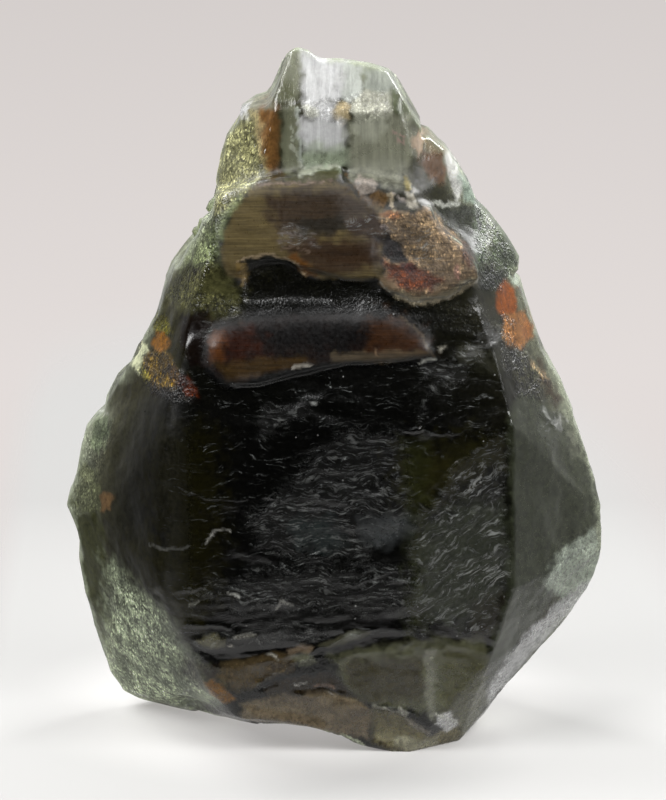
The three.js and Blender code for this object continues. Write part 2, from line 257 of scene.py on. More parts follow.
# %% [markdown]
# ## Carve the relief
#
# Relief is a move of each vertex along its normal. Hackles are the stepped ridges that a crack leaves
# where it runs across the crystal; they lie flat and long, so their noise is stretched sideways. A few
# of them are long enough to be seen one by one. Those are drawn as lines. Displacement in the material
# would not be in the mesh, and sculpting by hand can't be repeated, so here the vertices are moved.

# %% Drawn lines and patches of the front
# All of them are drawn over the front of the stone.
ROUGH_CORNER = ("5.85,10.75 5.13,10.37 4.57,9.9 4.14,9.5 3.47,8.87 3.08,8.27 2.75,7.2 2.6,5.6 2.7,4.4 5.4,4.2 "
                "5.9,6")
# These places have a relief and a colour of their own.
PLATE_SHEEN = "0.43,18.42 1.69,18.55 1.95,18.07 1.56,17.75 0.43,17.9"
PLATE_PIT = "1.42,17.85 1.95,17.85 2.55,17.3 2.35,16.98 1.69,17.24"
LEDGE_PIT = "0.26,19.96 0.5,19.9 0.56,19.5 0.33,19.58"
LOW_GRAIN = "2.69,18.81 2.89,18.83 3.19,18.71 3.28,18.53 2.95,18.59"
FOOT_GROOVE = "-2.4,2.3 -1.96,2.58 -1.12,2.8 -0.11,2.95 0.4,2.37 0.81,2.01 -0.11,2.3 -1.12,2.19 -2.13,1.97"
FOOT_SLAB = "1.31,1.72 2.19,1.42 3.29,0.51 4.24,0.85 4.4,0.07 3.64,-0.24 2.41,-0.17 1.32,0.4"
LEFT_SCALE = "-4.71,4.16 -4.14,4.31 -3.64,4.2 -3.7,3.91 -4.14,3.77 -4.48,3.87"
SMALL_SCALE = "-3.47,4.2 -2.96,4.35 -2.53,4.31 -2.8,4.16 -3.27,4.1"
MIDDLE_SCALE = "-0.71,3.88 0.06,4.2 0.64,4.46 1.24,4.42 0.97,4.16 0.4,4.05 -0.27,3.84"
RIGHT_SCALE = "0.37,4.31 0.64,4.46 0.94,4.42 0.84,4.12 0.43,4.12"
CRESTS = [
    # height, then points in x and z
    (0.07, "-3,8.1 -1.44,9.4 -0.27,10.68 0.63,11.15 1.9,11.41 2.9,11.46"),
    (0.06, "2.9,11.46 3.46,11.92 4.56,12.22"),
    (0.06, "2.73,11.46 4.29,11.42 5.29,11.59 5.89,11.62"),
    (0.05, "-1.37,12.62 -0.2,12.5 0.96,12.47"),
    (0.06, "-5.28,9.33 -3.38,9.08 -2.44,9.2 -1.44,9.16"),
    (0.05, "-0.44,8.64 1.07,9.22 1.9,9.22"),
    (0.06, "1.13,8.54 1.6,8.37"),
    (0.08, "-4.5,7.4 -4.29,7.72 -3.92,8 -3.55,7.97"),
    (0.06, "-5.2,5.9 -4.47,5.99 -3.29,6.38 -2.39,6.73 -0.94,6.46"),
    (0.07, "-0.27,5.97 0.8,6.26 1.41,6.51 2.14,6.53"),
    (0.06, "1.91,6.22 3.25,6.54 4.16,6.71 5.49,7.3"),
    (0.06, "-3.8,5.73 -3.16,5.69"),
    (0.09, "-1.95,5.39 -1.62,5.57 -1.38,5.39"),
    (0.06, "-4.91,4.56 -1.95,4.83 -0.61,4.65"),
    (0.08, "-3.4,4.27 -2.63,4.25"),
    (0.08, "0.47,4.35 1.31,4.43"),
    (0.07, "-4.72,4.09 -4.25,3.81 -3.57,3.91"),
    (0.06, "4.67,5.14 5.17,5.89"),
    (0.06, "3.91,8.34 4.91,9.4 5.9,10.1"),
    (0.05, "3.3,7.1 4.3,8.2 5.5,9.3"),
    (0.05, "3.4,6 4.5,7.4 5.6,8.4"),
    (0.07, "5.99,7.93 6.51,8.02"),
    (0.07, "6.84,11.75 7.48,11.03"),
    (0.05, "3.6,12.9 4.6,13.9 5.4,14.3"),
    (-0.09, "-2.47,2.37 -1.6,2.5 -0.44,2.41 0.67,2.03 1.35,1.56"),
    (0.08, "1.25,1.68 2.26,1.67 2.94,1.21 3.72,1.35 4.31,0.79"),
    (0.06, "-2.57,2.48 -1.35,3.27 0,4.05 0.91,4.35"),
]
FROSTED = [
    # strength, softness, then points in x and z
    (0.9, 0.25, "5.76,11.28 5.03,10.79 4.43,10.31 3.97,9.89 3.44,9.19 3.04,8.63 2.78,7.65 2.65,5.89 2.72,4.6 "
     "5.21,4.39 5.87,6.24"),
    (0.5, 0.4, "-2.91,8.35 -1.37,9.68 -0.3,10.93 0.56,11.42 1.96,11.56 2.5,10.45 2.57,8.35 1.1,7.23 -1.11,7.09 "
     "-2.38,7.44"),
    (0.4, 0.4, "-4.6,5.89 -2.18,6.58 0.57,6.73 2.51,6.74 2.52,5.16 -0.1,5.1 -3.13,5.02"),
    (0.6, 0.25, "2.63,11.82 3.23,12.73 4.09,13.17 5.22,14.02 5.57,14.58 5.02,14.74 4.29,14.02 2.89,13.77 "
     "2.89,13.38 4.16,13.17 3.03,12.47"),
    (0.5, 0.3, "-2.57,11.81 -2.37,12.4 -1.37,12.53 -0.5,12.6 -0.57,12.2 -1.57,11.81 -1.9,11.13 -2.37,10.93"),
    (0.4, 0.3, "-5.16,4.32 -0.1,4.74 -0.1,4.09 -4.89,3.69"),
    (0.5, 0.15, "6.88,11.91 7.38,11.87 7.88,11.31 7.66,10.74 7.22,10.69 6.95,11.4"),
    (0.6, 0.12, PLATE_SHEEN),
    (0.6, 0.1, "-1.9,18.1 -0.97,18.1 -0.5,17.45 -1.9,17.52"),
    (0.5, 0.15, "2.32,18.27 3.15,18.01 3.55,17.04 2.68,17.11 2.19,17.72"),
    (0.5, 0.2, "2.39,4.8 4.6,5.1 4.74,4.6 2.39,4.3"),
]
PITTED = [
    # strength, softness, then points in x and z
    (0.7, 0.2, "-3.41,20.81 -2.65,21.36 -2.3,19.77 -2.76,19.39 -3.16,18.93 -3.69,18.29 -3.76,17.39 -3.96,16.95 "
     "-4.36,16.11 -3.16,15.72 -3.16,15.18 -4.56,15.33 -5.47,15.26 -5.79,15.26 -5.05,16.39 -4.36,18.15 "
     "-4.01,18.93 -3.75,20.19"),
    (0.8, 0.5, "-7.68,5.82 -7.31,5.89 -6.54,5.4 -5.77,5.05 -5.03,3.63 -4.62,3.22 -4.32,2.64 -4.56,0.79 "
     "-6.33,0.39 -7.31,0.57 -7.72,1.47 -7.77,3.5"),
    (0.6, 0.15, "-8.45,9.62 -8.17,10.43 -7.5,10.85 -7.64,9.79 -8.04,8.94 -7.93,7.71 -8.89,7.03 -9.11,7.38 "
     "-8.6,8.84"),
    (0.35, 0.2, "-3.09,16.93 -1.43,17 -0.93,16.37 -0.1,16.37 1.56,16.24 2.89,15.65 4.89,15.91 5.57,14.29 "
     "3.56,14.68 2.23,15.2 -1.1,15.33 -3.09,15.18"),
    (0.25, 0.25, "7.67,7.09 8.87,7.22 9.23,6.21 9.04,5.19 8.15,4.64 7.06,3.12 6.35,3.15 7.29,4.97"),
    (0.3, 0.08, "-1.1,22.01 1.73,22.35 1.96,21.77 1.69,21.51 0.4,21.32 -1.1,21.54"),
    (0.9, 0.1, "-6.45,13.23 -6.16,13.48 -5.63,13.75 -5.38,13.59 -4.5,12.72 -4.77,12.4 -6.15,12.29 -6.66,12.6"),
    (0.7, 0.1, "4.72,18.43 5.29,18.11 6.29,16.39 5.58,15.7 4.89,15.97 4.71,17.64"),
    (0.8, 0.1, "6.26,13.91 7.24,12.53 7.02,11.97 6.07,12.48 5.84,13.91"),
    (0.7, 0.1, "-6.19,14.52 -5.54,14.75 -5.32,14.29 -6.03,13.96"),
    (0.6, 0.12, "1.49,18.42 2.15,18.75 3.23,18.67 4.07,17.92 4.56,17.22 4.75,16.69 4.55,16.23 3.88,16.13 "
     "2.82,15.86 1.96,16.33 1.56,17.11 1.89,17.75"),
    (0.6, 0.08, "5.72,15.13 6.06,14.72 6.12,13.96 6.61,13.45 6.74,12.73 6.11,12.7 5.63,13.39 5.57,14.29 "
     "5.36,14.8"),
    (0.6, 0.1, "-2.13,3.23 -0.1,3.52 0.4,2.95 -1.12,2.66 -2.4,2.3"),
]
LIFTS = [
    # height, softness, then points in x and z
    (-0.07, 0.12, "-4.48,3.73 -3.64,3.73 -2.39,3.87 -1.38,3.99 -1.11,3.88 -2.06,3.52 -3.13,3.3 -4.01,3.26"),
    (-0.06, 0.12, FOOT_GROOVE),
    (0.04, 0.08, LEFT_SCALE),
    (0.03, 0.07, SMALL_SCALE),
    (0.03, 0.07, MIDDLE_SCALE),
    (0.03, 0.07, RIGHT_SCALE),
    (0.06, 0.05, LOW_GRAIN),
    (-0.06, 0.08, "-2.96,16.87 -2.3,17.06 -1.43,17 -0.93,16.31 -0.1,16.3 -0.1,15.72 -2.96,15.72"),
    (-0.08, 0.05, LEDGE_PIT),
    (-0.05, 0.06, PLATE_PIT),
    (-0.05, 0.05, FOOT_SLAB),
    (0.05, 0.06, "2.77,9.05 3.44,9.61 4.1,10.37 4.57,10.58 4.43,10.23 3.84,9.33 3.24,8.63"),
]
print(len(CRESTS), "crests and", len(LIFTS), "lifted or sunken places")


# %% How strong each kind of surface is at each place
def swirl(points, scale, octaves, shifts):
    """Soft noise with three parts, to push points about."""
    return np.stack([ripple(points, (scale,) * 3, octaves, shift) for shift in shifts], 1)


def rim_distance(points):
    """Distance to the edge of the nearest plate, up to 0.4 mm. It is negative outside."""
    wobble = points + 0.1 * swirl(points, 2.6, 3, (4.1, 6.7, 8.3))
    deep = np.full(len(points), -0.4)
    for outline in (UPPER_PLATE, LOWER_PLATE, FLAKE):
        deep = np.maximum(deep, across(wobble, outline))
    return np.where(frontness(points) > 0.5, np.clip(deep, -0.4, 0.4), -0.4)


def plates_field(points):
    """1 on the smooth plates and on the flake beside them."""
    deep = np.maximum(across(points, UPPER_PLATE), across(points, LOWER_PLATE))
    return step(np.maximum(deep, across(points, FLAKE)), -0.1, 0.06) * frontness(points)


def patches(points, table):
    """How far each point is inside any of the drawn patches: 0 outside, up to the patch's strength."""
    field = np.zeros(len(points))
    for strength, soft, outline in table:
        field = np.maximum(field, strength * step(across(points, outline), -soft, soft))
    return field * frontness(points)


def frost_field(points):
    """How much the break is splintered: 0 where it is smooth, 1 where it is rough."""
    back = 0.6 * step(ripple(points, (0.35, 0.35, 0.5), 2, 8.0), 0.0, 0.35) * (1 - frontness(points))
    return np.maximum(patches(points + 0.35 * swirl(points, 1.1, 4, (5.3, 7.9, 3.3)), FROSTED), back)


def hackle_field(points):
    """1 on the black broken front between the two upright prism edges, and less on the back."""
    x, z = points[:, 0], points[:, 2]
    field = within(x, (-6.2, -4.0), (5.5, 6.1)) * within(z, (3.2, 5.2), (15.4, 16.6))
    back = 0.7 * within(z, (0.5, 3.0), (17.0, 20.0)) * (1 - frontness(points))
    return np.maximum(field * (1 - plates_field(points)) * frontness(points), back)


def pitted_field(points):
    """1 on the etched, glistening parts, as on the left flank and low on the left."""
    wander = points + 0.1 * swirl(points, 2.2, 3, (2.1, 3.7, 6.3))
    back = step(ripple(points, (0.3, 0.3, 0.3), 2, 5.0), 0.0, 0.3) * (1 - frontness(points))
    return np.maximum(patches(wander, PITTED), back)


print(len(FROSTED), "splintered and", len(PITTED), "pitted patches")

# %% [markdown]
# ## Soften what is worn
#
# The edges of the solid are sharp. On the stone, the edge at the left, the ledge, the notch and the
# upper rims of the plates are worn round. A bevel could round them, but it needs a clean edge to run
# along, and a remeshed surface has none. So each vertex there is pulled to the middle of its
# neighbours, again and again, which rounds whatever lies there.

# %% Soften the worn edges
PULL = 0.6
UNWORN = 0.01


def soften(mesh, share, rounds):
    """Pulls each vertex to the middle of its neighbours, again and again, by its share."""
    points = points_of(mesh)
    ends = np.zeros(2 * len(mesh.edges), int)
    mesh.edges.foreach_get("vertices", ends)
    first, second = ends[::2], ends[1::2]
    moving = (share[first] > UNWORN) | (share[second] > UNWORN)
    first, second = first[moving], second[moving]
    count = np.bincount(first, minlength=len(points)) + np.bincount(second, minlength=len(points))
    count = np.maximum(count, 1)
    share = np.where(share > UNWORN, share, 0)
    for _ in range(rounds):
        for axis in range(3):
            near = np.bincount(first, points[second, axis], len(points))
            near += np.bincount(second, points[first, axis], len(points))
            points[:, axis] += PULL * share * (near / count - points[:, axis])
    mesh.vertices.foreach_set("co", points.ravel())
    mesh.update()


EDGE_ROUNDS = 90
places = points_of(crystal.data)
left_edge = within(places[:, 0], (-7.0, -6.0), (-4.4, -3.4)) * within(places[:, 2], (3.5, 5.5), (12.6, 14.2))
left_edge *= frontness(places)
soften(crystal.data, left_edge, EDGE_ROUNDS)
print("softened", int((left_edge > 0).sum()), "vertices of the left edge")

# %% Soften the ledge, the notch and the rims of the plates
RIM_ROUNDS = 70
TOP_ROUNDS = 220
RIM_WIDTH = 0.25
TOP_WIDTH = 0.6
LEDGE_SHARE = 0.8
GAP_SHARE = 0.6
NOTCH = (1.65, 18.95)


def notch_distance(points):
    """Distance to the middle of the notch with the grains."""
    return np.hypot(points[:, 0] - NOTCH[0], points[:, 2] - NOTCH[1])


places = points_of(crystal.data)
front, up = frontness(places), places[:, 2]
ledge = within(up, (19.0, 19.3), (20.0, 20.3)) * front
gap = within(up, (15.3, 15.5), (15.9, 16.2)) * front
upward = np.maximum(step(normals_of(crystal.data)[:, 2], 0.3, 0.5), step(-places[:, 0], 3.0, 3.6))
worn = bell(rim_distance(places), RIM_WIDTH) * front * (0.12 + 0.88 * upward)
around_notch = step(-notch_distance(places), -0.7, -0.4) * front
worn = np.maximum(np.maximum(worn, LEDGE_SHARE * ledge), around_notch)
soften(crystal.data, np.maximum(worn, GAP_SHARE * gap), RIM_ROUNDS)
places = points_of(crystal.data)
worn_top = bell(across(places, LOWER_PLATE), TOP_WIDTH) * frontness(places)
worn_top *= within(places[:, 2], (14.2, 14.7), (15.9, 16.2))
soften(crystal.data, worn_top, TOP_ROUNDS)
print("softened", int((worn > UNWORN).sum()), "vertices of the rims, the ledge and the notch")

# %% Carve
CREST_WIDTH = 0.06
CREST_SHARE = 0.6


def tip_field(points):
    """1 on the clear tip, above the ledge."""
    return step(points[:, 2], 19.6, 20.1) * step(points[:, 0], -2.2, -1.6) * frontness(points)


def flake_field(points):
    """1 on the rough flake to the right of the upper plate."""
    return step(across(points, FLAKE), -0.1, 0.1) * frontness(points)


def off_crest(points):
    """The points, pushed about a little, so that no crest is a straight line."""
    return points + 0.16 * swirl(points, 1.6, 3, (3.1, 5.7, 9.3))


def carve(mesh):
    """Moves every vertex of the mesh by the relief of its region, and bends the whole a little."""
    points, normals = points_of(mesh), normals_of(mesh)
    above_base = step(points[:, 2], 0.02, 0.6)
    front = frontness(points)
    hackle, pitted, frost = hackle_field(points), pitted_field(points), frost_field(points)
    plates, tip = plates_field(points), tip_field(points)
    lean = points.copy()
    slope = 0.1 + 0.75 * step(across(points, ROUGH_CORNER), -0.3, 0.3)
    lean[:, 2] -= slope * points[:, 0]
    lean[:, 2] += 0.25 * ripple(points, (0.35, 0.35, 0.5), 2)
    stepped = ridges(lean, (0.4, 1.0, 2.4), 4)
    shards = ridges(lean, (1.2, 1.0, 5.5), 3, 7.3)
    move = (0.005 * hackle + 0.02 * frost) * (stepped - 1.0) + (0.006 * hackle + 0.016 * frost) * (shards - 1.0)
    wobble = off_crest(points)
    broken = step(ripple(points, (1.3, 1.3, 1.3), 3, 2.2), -0.3, 0.05)
    for height, line in CRESTS:
        move += front * broken * CREST_SHARE * height * bell(beside(wobble, line), CREST_WIDTH)
    for height, soft, outline in LIFTS:
        move += height * step(across(points, outline), -soft, soft) * front
    smooth = np.clip(plates + tip + 0.7 * hackle, 0, 1)
    waves = [
        # height, where, then how often it changes in a millimetre, its detail and its shift
        (0.014, pitted, (4.4, 4.4, 4.4), 3, 3.1), (0.005, 1 - smooth, (1.4, 1.4, 1.4), 3, 1.7),
        (0.04, flake_field(points), (2.6, 2.6, 3.0), 5, 6.1),
    ]
    for height, where, scale, octaves, shift in waves:
        move += height * where * ripple(points, scale, octaves, shift)
    bend = (0.022 * (1 - 0.7 * smooth))[:, None] * swirl(points, 1.7, 3, (11.3, 23.7, 37.1))
    bend += 0.08 * swirl(points, 0.55, 1, (1.3, 2.7, 7.1))
    points += (normals * move[:, None] + bend) * above_base[:, None]
    mesh.vertices.foreach_set("co", points.ravel())
    mesh.update()
    return move


moved = carve(crystal.data)
print("relief from", round(moved.min(), 3), "to", round(moved.max(), 3), "mm")

# %% [markdown]
# ## Fewer faces where the stone is flat
#
# The carved mesh has more faces than it needs on the smooth plates, on the prism faces and on the back.
# A coarser remesh would lose the crests as well. Decimate collapses the faces that bend least, and a
# vertex group tells it to take more of them from the back.

# %% Decimate
MOST_TRIANGLES = 190_000
FRONT_KEPT = 0.85
BACK_FACTOR = 3.0


def triangle_count(mesh):
    """How many triangles the faces of a mesh make."""
    return sum(len(face.vertices) - 2 for face in mesh.polygons)


weights = crystal.vertex_groups.new(name="back")
on_front = frontness(points_of(crystal.data))
for index, share in enumerate(on_front.tolist()):
    weights.add([index], 1.0 - FRONT_KEPT * share, "REPLACE")
decimate = crystal.modifiers.new("decimate", "DECIMATE")
decimate.ratio = min(1.0, MOST_TRIANGLES / triangle_count(crystal.data))
decimate.vertex_group = "back"
decimate.vertex_group_factor = BACK_FACTOR
apply_modifiers(crystal)
crystal.vertex_groups.clear()
print("kept", triangle_count(crystal.data), "triangles")

# %% [markdown]
# ## Paint the regions
#
# The colour of the stone follows its thickness: black where it is thick, olive where it is thinner,
# and pale at the rims. This is partly the crystal's own tint and partly painted light that shines
# through its thin parts. Iron stains, films and dust lie on top of that, together with painted
# highlights, glints and a painted shadow. A texture would need the stone to be unwrapped, and would be
# as coarse as its pixels. A colour for each vertex follows the mesh, and the edges of the drawn areas
# can wander with noise.

# %% Colours
# painted light: the olive and the pale of thin places are partly the crystal's tint and partly light let
# through the thin stone
DEEP = (10, 10, 7)
OLIVE = (96, 94, 66)
PALE_LIGHT_THROUGH = (196, 204, 176)
OLIVE_DEPTH = 3.4
LIGHT_THROUGH_DEPTH = 1.5
AREAS = [
    # colour as seen, strength, softness, then points in x and z
    # tip and window: the whites of the tip facet are a painted highlight, and the pale window is painted light
    # let through the clear tip
    ((255, 255, 255), 0.95, 0.16, "-1.11,23.52 -0.5,23.4 -0.1,23.26 0.13,23.11 0.1,22.58 0.03,22.06 "
     "-1.07,22.04 -1.1,22.93"),
    ((255, 255, 255), 0.8, 0.14, "-0.07,23.23 0.4,23.18 0.4,22.52 0.16,22.06 -0.07,22.06"),
    ((151, 153, 131), 0.9, 0.1, "-1.58,23.34 -1.37,23.6 -1.14,23.52 -1.1,22.79 -1.14,21.95 -1.97,22.03 "
     "-1.81,22.55"),
    ((101, 104, 69), 0.7, 0.12, "-1.9,22.12 -1.7,22.7 -1.37,22.64 -1.24,22.05"),
    ((241, 246, 237), 0.85, 0.1, "0.4,23.18 1,23.06 0.96,22.52 0.9,22.05 0.3,22.06"),
    ((196, 202, 190), 0.85, 0.1, "1.03,23.06 1.84,22.86 2.17,22.33 1.96,22.29 0.96,22.41"),
    ((255, 255, 233), 0.8, 0.08, "1.1,22.35 1.9,22.29 1.89,21.71 1.69,21.51 0.56,21.71 0.5,22"),
    ((122, 130, 99), 0.8, 0.1, "1.93,22.41 2.3,22.09 2.87,21.14 2.5,21.34 1.96,21.77"),
    ((255, 255, 255), 0.8, 0.1, "-1.1,22.04 0,22.06 0.1,21.45 -1,21.54"),
    ((255, 255, 229), 0.6, 0.06, "-1.04,21.92 -0.57,21.91 -0.5,21.54 -0.97,21.58"),
    ((244, 221, 172), 0.85, 0.07, "0,21.9 0.26,22 0.5,21.97 0.53,21.58 0.2,21.22 0.03,21.48"),
    ((129, 131, 108), 0.95, 0.08, "-1.73,21.94 -1.17,21.87 -1.1,19.8 -1.67,19.73"),
    ((255, 255, 255), 0.9, 0.2, "-1.1,21.64 0.36,21.51 0.43,20.87 0.16,20.48 -1.07,20.41"),
    ((188, 201, 172), 0.85, 0.35, "-1.07,20.57 0.43,20.54 0.5,19.84 -0.1,19.9 -1,19.8"),
    ((163, 164, 143), 0.9, 0.25, "0.43,21.51 2.5,21.52 2.7,20.82 2.56,20.15 2.29,19.42 0.56,19.67"),
    ((204, 206, 186), 0.6, 0.15, "0.63,21.71 1.49,21.64 1.89,21.29 1.3,20.74 0.7,20.87"),
    ((142, 101, 58), 0.95, 0.14, "-2.55,21.67 -1.87,22 -1.83,19.8 -2.27,19.77 -2.47,20.73"),
    ((104, 75, 45), 0.6, 0.06, "-2.04,21.99 -1.83,22 -1.83,19.8 -2,19.8"),
    ((235, 212, 156), 0.75, 0.16, "-2.82,21.48 -2.54,21.58 -2.37,20.76 -2.3,19.9 -2.5,20.13 -2.71,20.93"),
    ((156, 155, 134), 0.85, 0.1, "-3.27,21.51 -2.8,21.66 -2.04,22.07 -1.9,21.88 -2.78,21.43 -3.27,20.88"),
    # painted glint: a small white spot
    ((255, 255, 255), 0.9, 0.06, "-3.27,21.23 -3.1,21.54 -2.83,21.54 -2.85,21.24 -3.09,21.15"),
    # left flank: its pale olive is partly its own tint and partly painted light let through the thin flank
    ((205, 202, 142), 0.85, 0.2, "-3.41,20.81 -2.71,21.34 -2.3,19.77 -2.76,19.39 -3.16,18.93 -3.69,18.52 "
     "-3.96,18.5 -4.01,18.93 -3.75,20.19"),
    ((174, 188, 134), 0.8, 0.25, "-4.02,18.28 -3.09,19.13 -3.56,18.29 -3.76,17.39 -3.96,16.95 -4.78,16.68 "
     "-5.13,16.34 -4.5,17.41"),
    ((100, 99, 63), 0.8, 0.3, "-5.71,15.47 -5.05,16.38 -3.89,17.08 -3.69,16.56 -3.1,16.04 -3.16,15.13 "
     "-4.56,15.33 -5.26,14.84 -5.91,14.72"),
    ((26, 15, 8), 0.9, 0.12, "-5.26,15.02 -4.23,15.46 -4.2,14.81 -4.36,14.09 -4.23,13.57 -4.76,13.63 "
     "-5.1,14.12"),
    ((48, 45, 14), 0.8, 0.25, "-7.81,11.16 -6.32,13.96 -5.69,15.16 -5.26,15.02 -5.18,14.15 -5.03,13.24 "
     "-6.15,12.29 -7.29,11.19"),
    ((127, 121, 30), 0.7, 0.1, "-5.98,14.53 -5.61,14.66 -5.43,14.3 -5.96,13.99 -6.18,14.2"),
    ((251, 255, 207), 0.95, 0.05, "-6.91,12.72 -6.45,13.55 -6.2,13.41 -6.44,13 -6.58,12.63 -6.73,12.86"),
    ((127, 99, 27), 0.9, 0.1, "-6.45,13.12 -6.16,13.48 -5.63,13.75 -5.38,13.59 -5.1,13.24 -5.23,12.85 "
     "-5.79,12.56 -6.3,12.61"),
    ((193, 182, 73), 0.55, 0.08, "-6.52,12.96 -6.3,12.9 -6.15,12.63 -6.37,12.52 -6.55,12.7"),
    ((153, 100, 24), 0.95, 0.05, "-6.13,13.73 -5.96,14.08 -5.67,14.25 -5.49,14.1 -5.6,13.8 -6.02,13.55"),
    ((47, 15, 8), 0.7, 0.07, "-5.52,13.46 -5.24,13.49 -4.9,12.98 -5.16,12.79 -5.44,13.04"),
    ((25, 14, 8), 0.8, 0.1, "-6.15,12.57 -5.16,12.85 -4.43,12.4 -5.37,12.45 -6.15,12.29"),
    ((88, 37, 8), 0.95, 0.07, "-5.1,13.31 -4.8,13.24 -4.56,12.85 -4.47,12.56 -4.83,12.56 -5.06,12.92"),
    # ledge and grains
    ((68, 54, 8), 0.95, 0.05, "-2.76,19.32 -2.37,19.6 -2.03,19.7 -1.6,19.77 -1.56,19.71 -2.03,19.57 "
     "-2.43,19.42"),
    ((75, 74, 31), 0.95, 0.05, "-1.63,19.7 -0.44,19.87 0.16,19.93 0.26,19.61 -0.44,19.61 -1.63,19.55"),
    ((39, 38, 10), 0.95, 0.04, LEDGE_PIT),
    ((114, 84, 39), 0.9, 0.06, "0.43,19.74 0.76,19.3 1.03,18.81 1.69,18.73 1.89,19.13 1.49,19.29 1.09,19.09 "
     "0.69,19.42"),
    ((184, 171, 158), 0.95, 0.04, "0.66,19.59 0.89,19.7 1.29,19.67 1.49,19.48 1.29,19.23 0.96,19.16 "
     "0.73,19.39"),
    ((153, 139, 79), 0.95, 0.03, "2.32,19.76 2.46,19.64 2.55,19.32 2.39,19.24 2.33,19.45"),
    ((193, 186, 168), 0.95, 0.04, "2.42,19.28 2.69,19.27 2.79,18.85 2.59,18.74 2.39,18.93"),
    ((69, 62, 47), 0.85, 0.05, LOW_GRAIN),
    # upper plate
    ((119, 104, 69), 0.95, 0.08, "-2.76,19.32 -2.36,19.51 -1.6,19.58 -0.1,19.61 0.3,19.48 0.63,19.26 0.96,19 "
     "1.36,18.81 1.72,18.61 1.56,18.43 1.72,17.88 1.56,17.11 1.62,16.43 0.73,16.4 0.06,16.43 -0.57,16.46 "
     "-0.93,16.62 -1.2,16.97 -1.66,17.19 -2.26,17.26 -2.99,17.13 -3.29,17 -3.1,16.5 -3.49,16.6 -3.69,17 "
     "-3.72,17.45 -3.62,17.97 -3.39,18.45 -3.09,18.9"),
    ((66, 52, 41), 0.9, 0.3, "-2.29,19.13 -1.1,19.45 0.4,19.42 1.29,18.84 1.36,18.48 0.39,18.23 0.06,17.87 "
     "-1.5,17.84 -2.1,18.16"),
    ((45, 44, 37), 0.7, 0.15, "-1.43,18.35 0.4,18.55 0.39,17.97 -1.1,17.84"),
    ((51, 27, 15), 0.85, 0.12, PLATE_SHEEN),
    ((69, 50, 38), 0.85, 0.2, "-2.03,17.71 1.56,17.75 1.72,17.04 0.23,16.54 -0.7,16.73 -1.23,17.13"),
    ((62, 42, 24), 0.6, 0.1, "-1.1,17.45 1.29,17.58 1.42,17.02 -0.1,17"),
    ((25, 8, 8), 0.9, 0.1, PLATE_PIT),
    ((120, 76, 31), 0.85, 0.07, "-1.56,17.19 -1.17,17.29 -0.44,16.49 -0.9,16.53"),
    ((144, 119, 69), 0.9, 0.06, "-3.26,17 -2.89,16.93 -2.83,16.3 -3.06,16.21 -3.23,16.6"),
    # flake
    ((157, 131, 99), 0.98, 0.05, "1.49,18.52 1.96,18.71 2.62,18.65 3.05,18.81 3.33,18.47 3.45,18.3 3.82,17.97 "
     "4.15,17.64 4.57,17.31 4.7,16.97 4.75,16.75 4.83,16.31 4.48,16.41 4.15,16.17 3.76,15.84 3.28,15.95 "
     "2.82,15.69 2.29,15.79 1.96,16.12 1.56,16.24 1.69,16.72 1.69,17.17 2.05,17.04 2.49,17.04 2.22,17.59 "
     "1.95,17.88 1.69,18.14"),
    ((157, 104, 63), 0.9, 0.05, "1.52,18.55 2.09,18.7 2.32,18.52 1.95,18.4"),
    ((173, 145, 107), 0.7, 0.1, "2.88,18.46 3.5,18.32 3.58,18.06 3.08,17.88"),
    ((107, 86, 55), 0.7, 0.1, "2.32,18.27 3.15,18.01 3.28,17.04 2.68,17.11 2.19,17.72"),
    ((121, 55, 11), 0.95, 0.1, "1.69,17.11 2.09,16.95 2.62,17.01 3.22,16.72 3.61,16.43 3.22,16.14 2.39,16.17 "
     "1.82,16.53"),
    ((65, 23, 8), 0.8, 0.06, "4.28,17.6 4.6,17.26 4.68,17.02 4.44,16.82 4.21,17.24"),
    ((209, 156, 136), 0.8, 0.04, "4.05,17.04 4.18,16.95 4.18,16.46 4.01,16.59"),
    ((69, 19, 8), 0.9, 0.05, "2.09,17.04 2.68,17.01 2.88,16.85 2.42,16.69"),
    ((210, 195, 161), 0.9, 0.05, "1.96,16.16 2.39,16.04 2.89,15.9 3.55,16.04 3.95,16.2 4.54,16.56 4.86,16.39 "
     "4.76,16.25 3.76,15.74 2.76,15.59 2.09,15.75"),
    # right of the flake
    ((32, 38, 15), 0.9, 0.15, "3.36,18.7 4.8,18.4 4.84,17.4 4.97,16.77 5.76,16.23 5.58,15.7 4.89,15.91 "
     "4.76,16.83 4.28,17.63 3.83,17.91"),
    ((78, 95, 59), 0.8, 0.12, "4.72,18.43 5.29,18.11 5.22,17.34 5.04,16.69 4.76,16.83 4.71,17.64"),
    ((82, 96, 62), 0.85, 0.12, "5.32,17.91 5.73,17.59 6.24,16.77 6.29,16.33 5.8,16.22 5.18,16.71"),
    # painted light: the white streak beside the flake
    ((255, 255, 247), 0.95, 0.06, "3.7,20.28 4,19.99 4.18,19.57 4.32,18.98 4.11,18.61 3.91,19.25 3.74,19.9"),
    ((171, 191, 173), 0.85, 0.08, "4.13,19.69 4.74,18.75 4.84,18.36 4.38,18.61"),
    ((163, 146, 113), 0.9, 0.12, "2.9,21.02 3.2,20.72 3.6,20.41 3.78,20.16 3.24,20.32 2.9,20.66"),
    ((109, 70, 28), 0.9, 0.12, "2.97,20.41 3.64,20.22 3.81,19.52 3.57,19.19 3.1,19.59 2.9,20.05"),
    ((228, 199, 169), 0.8, 0.05, "2.59,20.84 2.9,20.99 3,20.64 2.83,20.28 2.63,20.53"),
    ((44, 43, 18), 0.85, 0.12, "2.63,20.15 3.03,19.48 3.77,19.12 4.04,18.65 3.36,18.73 2.69,19.24"),
    # right orange
    ((167, 90, 31), 0.98, 0.07, "5.69,16.02 5.86,15.91 6.1,15.6 6.2,15.21 6.1,14.89 5.71,14.95 5.44,15.27 "
